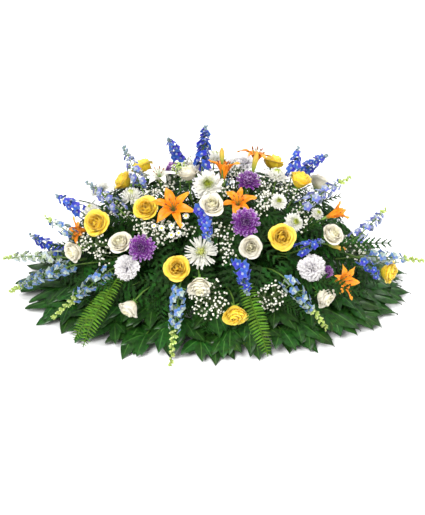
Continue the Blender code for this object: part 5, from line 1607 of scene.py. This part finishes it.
# %% Set the fronds
for node, members in SWORD_FERNS.items():
    lines = [arched(place(*low), place(*tip), 0.14, 16) for low, tip, _ in members]
    leafy = fronds("sword", lines, [half for _, _, half in members], sword_outline,
                   SWORD_LEAFLET, SWORD_PAIRS, SWORD_SWEEP, LEAF["sword"], SWORD_RIB)
    stems = stems_of([stem_curve(node, line[0], under(line)) for line in lines], FROND_GIRTH)
    piece_of(node + ".grown", [stems, leafy], [node])
for node, members in LEATHERLEAF.items():
    tips = sided(node, *(place(*tip) for tip, _ in members))
    lines = [arched(FROND_ROOT.lerp(tip, 0.5), tip, 0.08) for tip in tips]
    leafy = leather_fronds(lines, [half for _, half in members], LEATHER_PAIRS, LEATHER_RIB)
    stems = stems_of([stem_curve(node, line[0], (line[0] - line[1]).normalized())
                      for line in lines], FROND_GIRTH)
    piece_of(node + ".grown", [stems, leafy], [node])
print("fronds", len(pieces), "pieces so far")

# %% [markdown]
# ### Filling fronds
# A spray hides its foam under greens that lie like shingles, far more than solids could carry.
# Short fronds are scattered over two shells of the mound by the golden angle, and point
# downhill with a random turn. Their ends are held well up, so that none dips into the table.

# %% Filling fronds over the mound
FILL_PAIRS = 10
FILL_LOWEST = 56 * MM
FILL_LAYERS = (
    # fronds, reach of the foot and of the tip, length in metres, half width in mm
    (58, (0.55, 0.66), (0.66, 0.76), 0.19, (46, 56)),
    (150, (0.76, 0.9), (0.82, 0.94), 0.15, (32, 42)),
)


def on_oval(azimuth, height, reach):
    """A point of the mound at an azimuth and a share of its height."""
    flat = math.sqrt(max(0.0, 1 - height * height))
    way = Vector((flat * math.cos(azimuth), flat * math.sin(azimuth), height))
    return MOUND_MIDDLE + way * MOUND * reach


def quarter(point):
    return ("front" if point.y < 0 else "rear") + ("_left" if point.x < 0 else "_right")


def downhill(start, height, length):
    """Where a frond from start ends on its way down the mound, before its reach is set."""
    out = straight_out(start)
    down = Vector((0, 0, -1)) + out * out.z
    down = down.normalized() if out.z < 0.98 else out.orthogonal()
    turn = draw.uniform(-1.2, 1.2) * (1 + height)
    way = down * math.cos(turn) + out.cross(down) * math.sin(turn)
    return start + way * length * draw.uniform(0.8, 1.15)


# %% Set the filling fronds
by_side = {}
for count, feet, tips, length, halves in FILL_LAYERS:
    for k in range(count):
        azimuth = GOLDEN * k + draw.uniform(-0.2, 0.2)
        height = 0.08 + 0.9 * ((k + 0.5) / count) ** 0.7
        start = on_oval(azimuth, height, draw.uniform(*feet))
        way = downhill(start, height, length) - MOUND_MIDDLE
        share = math.sqrt(sum((way[i] / MOUND[i]) ** 2 for i in range(3)))
        end = MOUND_MIDDLE + way * (draw.uniform(*tips) / share)
        end.z = max(end.z, FILL_LOWEST)
        by_side.setdefault(quarter(start), []).append(
            (arched(start, end, 0.07), draw.uniform(*halves)))
for side, members in by_side.items():
    lines, halves = zip(*members)
    leafy = leather_fronds(lines, halves, FILL_PAIRS, FROND_GIRTH)
    paths = [arched(FROND_ROOT.lerp(line[0], 0.25), line[0], 0.1, 6) for line in lines]
    stems = green_stems(paths, [[FROND_GIRTH] * len(path) for path in paths], 5)
    piece_of("leatherleaf_fill_" + side, [stems, leafy], [])
print("filling fronds", {side: len(members) for side, members in by_side.items()})

# %% [markdown]
# ## Skirt
# Round the rim lie broad dark leaves whose pointed lobes spread like fingers. Each lobe is one
# blade. The tree sets the lobes out flat and then lays them over the skirt's draped surface.
# What would sink into the table is pressed nearly flat on it instead.

# %% A tree that drapes lobes
SKIRT_EDGE = (462 * MM, 338 * MM)
SKIRT_TIP_HEIGHT = 7 * MM
SKIRT_RISE = 34 * MM
DRAPE_SPAN = 0.75
DRAPE_MOST = 1.3
LOWEST = 0.8 * MM
REST_SQUASH = 0.06  # how much of its thickness a tip keeps where it rests on the table

leaf_skirt, at = new_tree(
    "leaf_skirt", Lobe="Object", HalfLength="Float", HalfDepth="Float", TipHeight="Float",
    Rise="Float", Seed="Int", Finish="Material",
)
t = leaf_skirt
turn = carried(t, "turn", "FLOAT_VECTOR")
turn = add(t, "FunctionNodeEulerToRotation", {"Euler": turn})
tone = add(t, "FunctionNodeRandomValue", {"Min": 0.0, "Max": 1.0, "Seed": at["Seed"]})
lobes = copies(t, at["Lobe"], at["Geometry"], turn, carried(t, "size", "FLOAT_VECTOR"))
lobes = add(t, "GeometryNodeRealizeInstances", {"Geometry": marked(t, lobes, tone=tone)})
axes = add(t, "ShaderNodeSeparateXYZ", {0: add(t, "GeometryNodeInputPosition")}).node.outputs
shares = []
for axis, half in (("X", "HalfLength"), ("Y", "HalfDepth")):
    part = calc(t, "DIVIDE", axes[axis], at[half])
    shares.append(calc(t, "MULTIPLY", part, part))
drop = ranged(t, calc(t, "ADD", *shares), (1.0, 1.0 - DRAPE_SPAN * DRAPE_MOST),
              (0.0, DRAPE_MOST))
rise = calc(t, "MULTIPLY_ADD", drop, at["Rise"], at["TipHeight"])
height = calc(t, "ADD", axes["Z"], rise)
resting = calc(t, "MULTIPLY_ADD", height, REST_SQUASH, LOWEST)
height = calc(t, "MAXIMUM", height, resting)
draped = add(t, "ShaderNodeCombineXYZ", {"X": axes["X"], "Y": axes["Y"], "Z": height})
lobes = add(t, "GeometryNodeSetPosition", {"Geometry": lobes, "Position": draped})
add(t, "NodeGroupOutput", {"Geometry": coated(t, lobes, at["Finish"])})
print("skirt tree", len(t.nodes), "nodes")

# %% [markdown]
# ### Leaves of the skirt
# A leaf is five lobes round a hub. Leaves stand in rings, the outer ones lowest, and each ring
# is shifted so that its leaves cover the gaps of the ring below.

# %% Leaves of the skirt
# Rings: leaves, half axes of the hubs' ellipse and of the tips' one, lift, all in mm, and the
# share of a step that the first leaf is shifted by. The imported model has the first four, and
# the others fill between and above them.
SKIRT_RINGS = (
    (11, (338, 240), (462, 338), 0, 0.25),
    (11, (318, 220), (446, 326), 13, 0.75),
    (8, (250, 158), (390, 280), 27, 0.0),
    (6, (214, 122), (345, 246), 42, 0.25),
    (17, (380, 270), (461, 337), 4, 0.5),
    (16, (372, 260), (453, 330), 9, 0.2),
    (13, (350, 246), (440, 318), 12, 0.0),
    (12, (328, 224), (420, 300), 19, 0.5),
    (11, (304, 200), (396, 280), 26, 0.2),
    (10, (278, 176), (370, 256), 34, 0.6),
    (9, (248, 152), (342, 234), 42, 0.3),
    (8, (214, 126), (312, 210), 50, 0.8),
    (12, (318, 208), (408, 290), 30, 0.0),
)
LOBE_ANGLES = (-66, -33, 0, 33, 66)
LOBE_SHARES = (0.62, 0.88, 1.0, 0.88, 0.62)
LOBE = blade("lobe", 1.0, 0.2, 9, 4, (-8, -4, 2, 8, 12, 15),
             (0.1, 0.46, 0.76, 0.94, 1, 0.97, 0.84, 0.62, 0.34, 0.01), (-0.55, -0.4, -0.3),
             thick=0.006, wave=(0.03, 1.6))
STALK_GIRTH = 1.6 * MM
STALK_END = Vector((0, 0, 22)) * MM  # above the hub
STALK_RISE = Vector((0, 0, 8)) * MM


def at_angle(halves, angle, lift):
    return Vector((halves[0] * math.cos(angle), halves[1] * math.sin(angle), lift)) * MM


# %% Set the leaves
leaves = {}
for count, hubs, tips, lift, shift in SKIRT_RINGS:
    evened = (hubs[0] - hubs[1]) / (hubs[0] + hubs[1]) / 2
    for i in range(count):
        angle = 2 * math.pi * (i + shift) / count
        angle += evened * math.sin(2 * angle)
        hub, tip = at_angle(hubs, angle, lift), at_angle(tips, angle, lift)
        leaves.setdefault("skirt_leaves_" + quarter(hub), []).append((hub, tip - hub))
for node, members in leaves.items():
    spots, turns, sizes, paths = [], [], [], []
    for hub, way in members:
        heading = math.atan2(way.y, way.x)
        for degrees, share in zip(LOBE_ANGLES, LOBE_SHARES):
            spots.append([hub])
            turns.append([(draw.uniform(-0.3, 0.3), math.pi / 2 + draw.uniform(-0.07, 0.03),
                           heading + math.radians(degrees) + draw.uniform(-0.09, 0.09))])
            long = way.length * share * draw.uniform(0.93, 1.03)
            wide = long * draw.uniform(0.95, 1.15) * (1.25 - 0.25 * share)
            sizes.append([(long, wide, long)])
        root, end = FROND_ROOT.lerp(hub, 0.3), hub + STALK_END
        paths.append(parabola(root, root.lerp(end, 0.5) + STALK_RISE, end, 6))
    base = strands("lobes", spots, turn=turns, size=sizes)
    grown(leaf_skirt, base, Lobe=LOBE, HalfLength=SKIRT_EDGE[0], HalfDepth=SKIRT_EDGE[1],
          TipHeight=SKIRT_TIP_HEIGHT, Rise=SKIRT_RISE, Seed=4, Finish=LEAF["skirt"])
    piece_of(node + ".grown", [stems_of(paths, STALK_GIRTH, 5), base], [node])
print("skirt lobes", len(spots), "in the last quarter")

# %% [markdown]
# ## Last
# Everything that was only a pattern for repeats is removed, so the finished model holds just its
# pieces.

# %% Tidy, measure, finish
for item in list(bpy.data.objects):
    if item.type == "MESH" and item not in pieces and item is not floor and (
            "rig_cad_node" not in item):
        bpy.data.objects.remove(item)
bpy.context.view_layer.update()
faces = {piece.name: len(piece.data.polygons) for piece in pieces}
print(len(pieces), "pieces,", sum(faces.values()), "faces, most in", max(faces, key=faces.get))
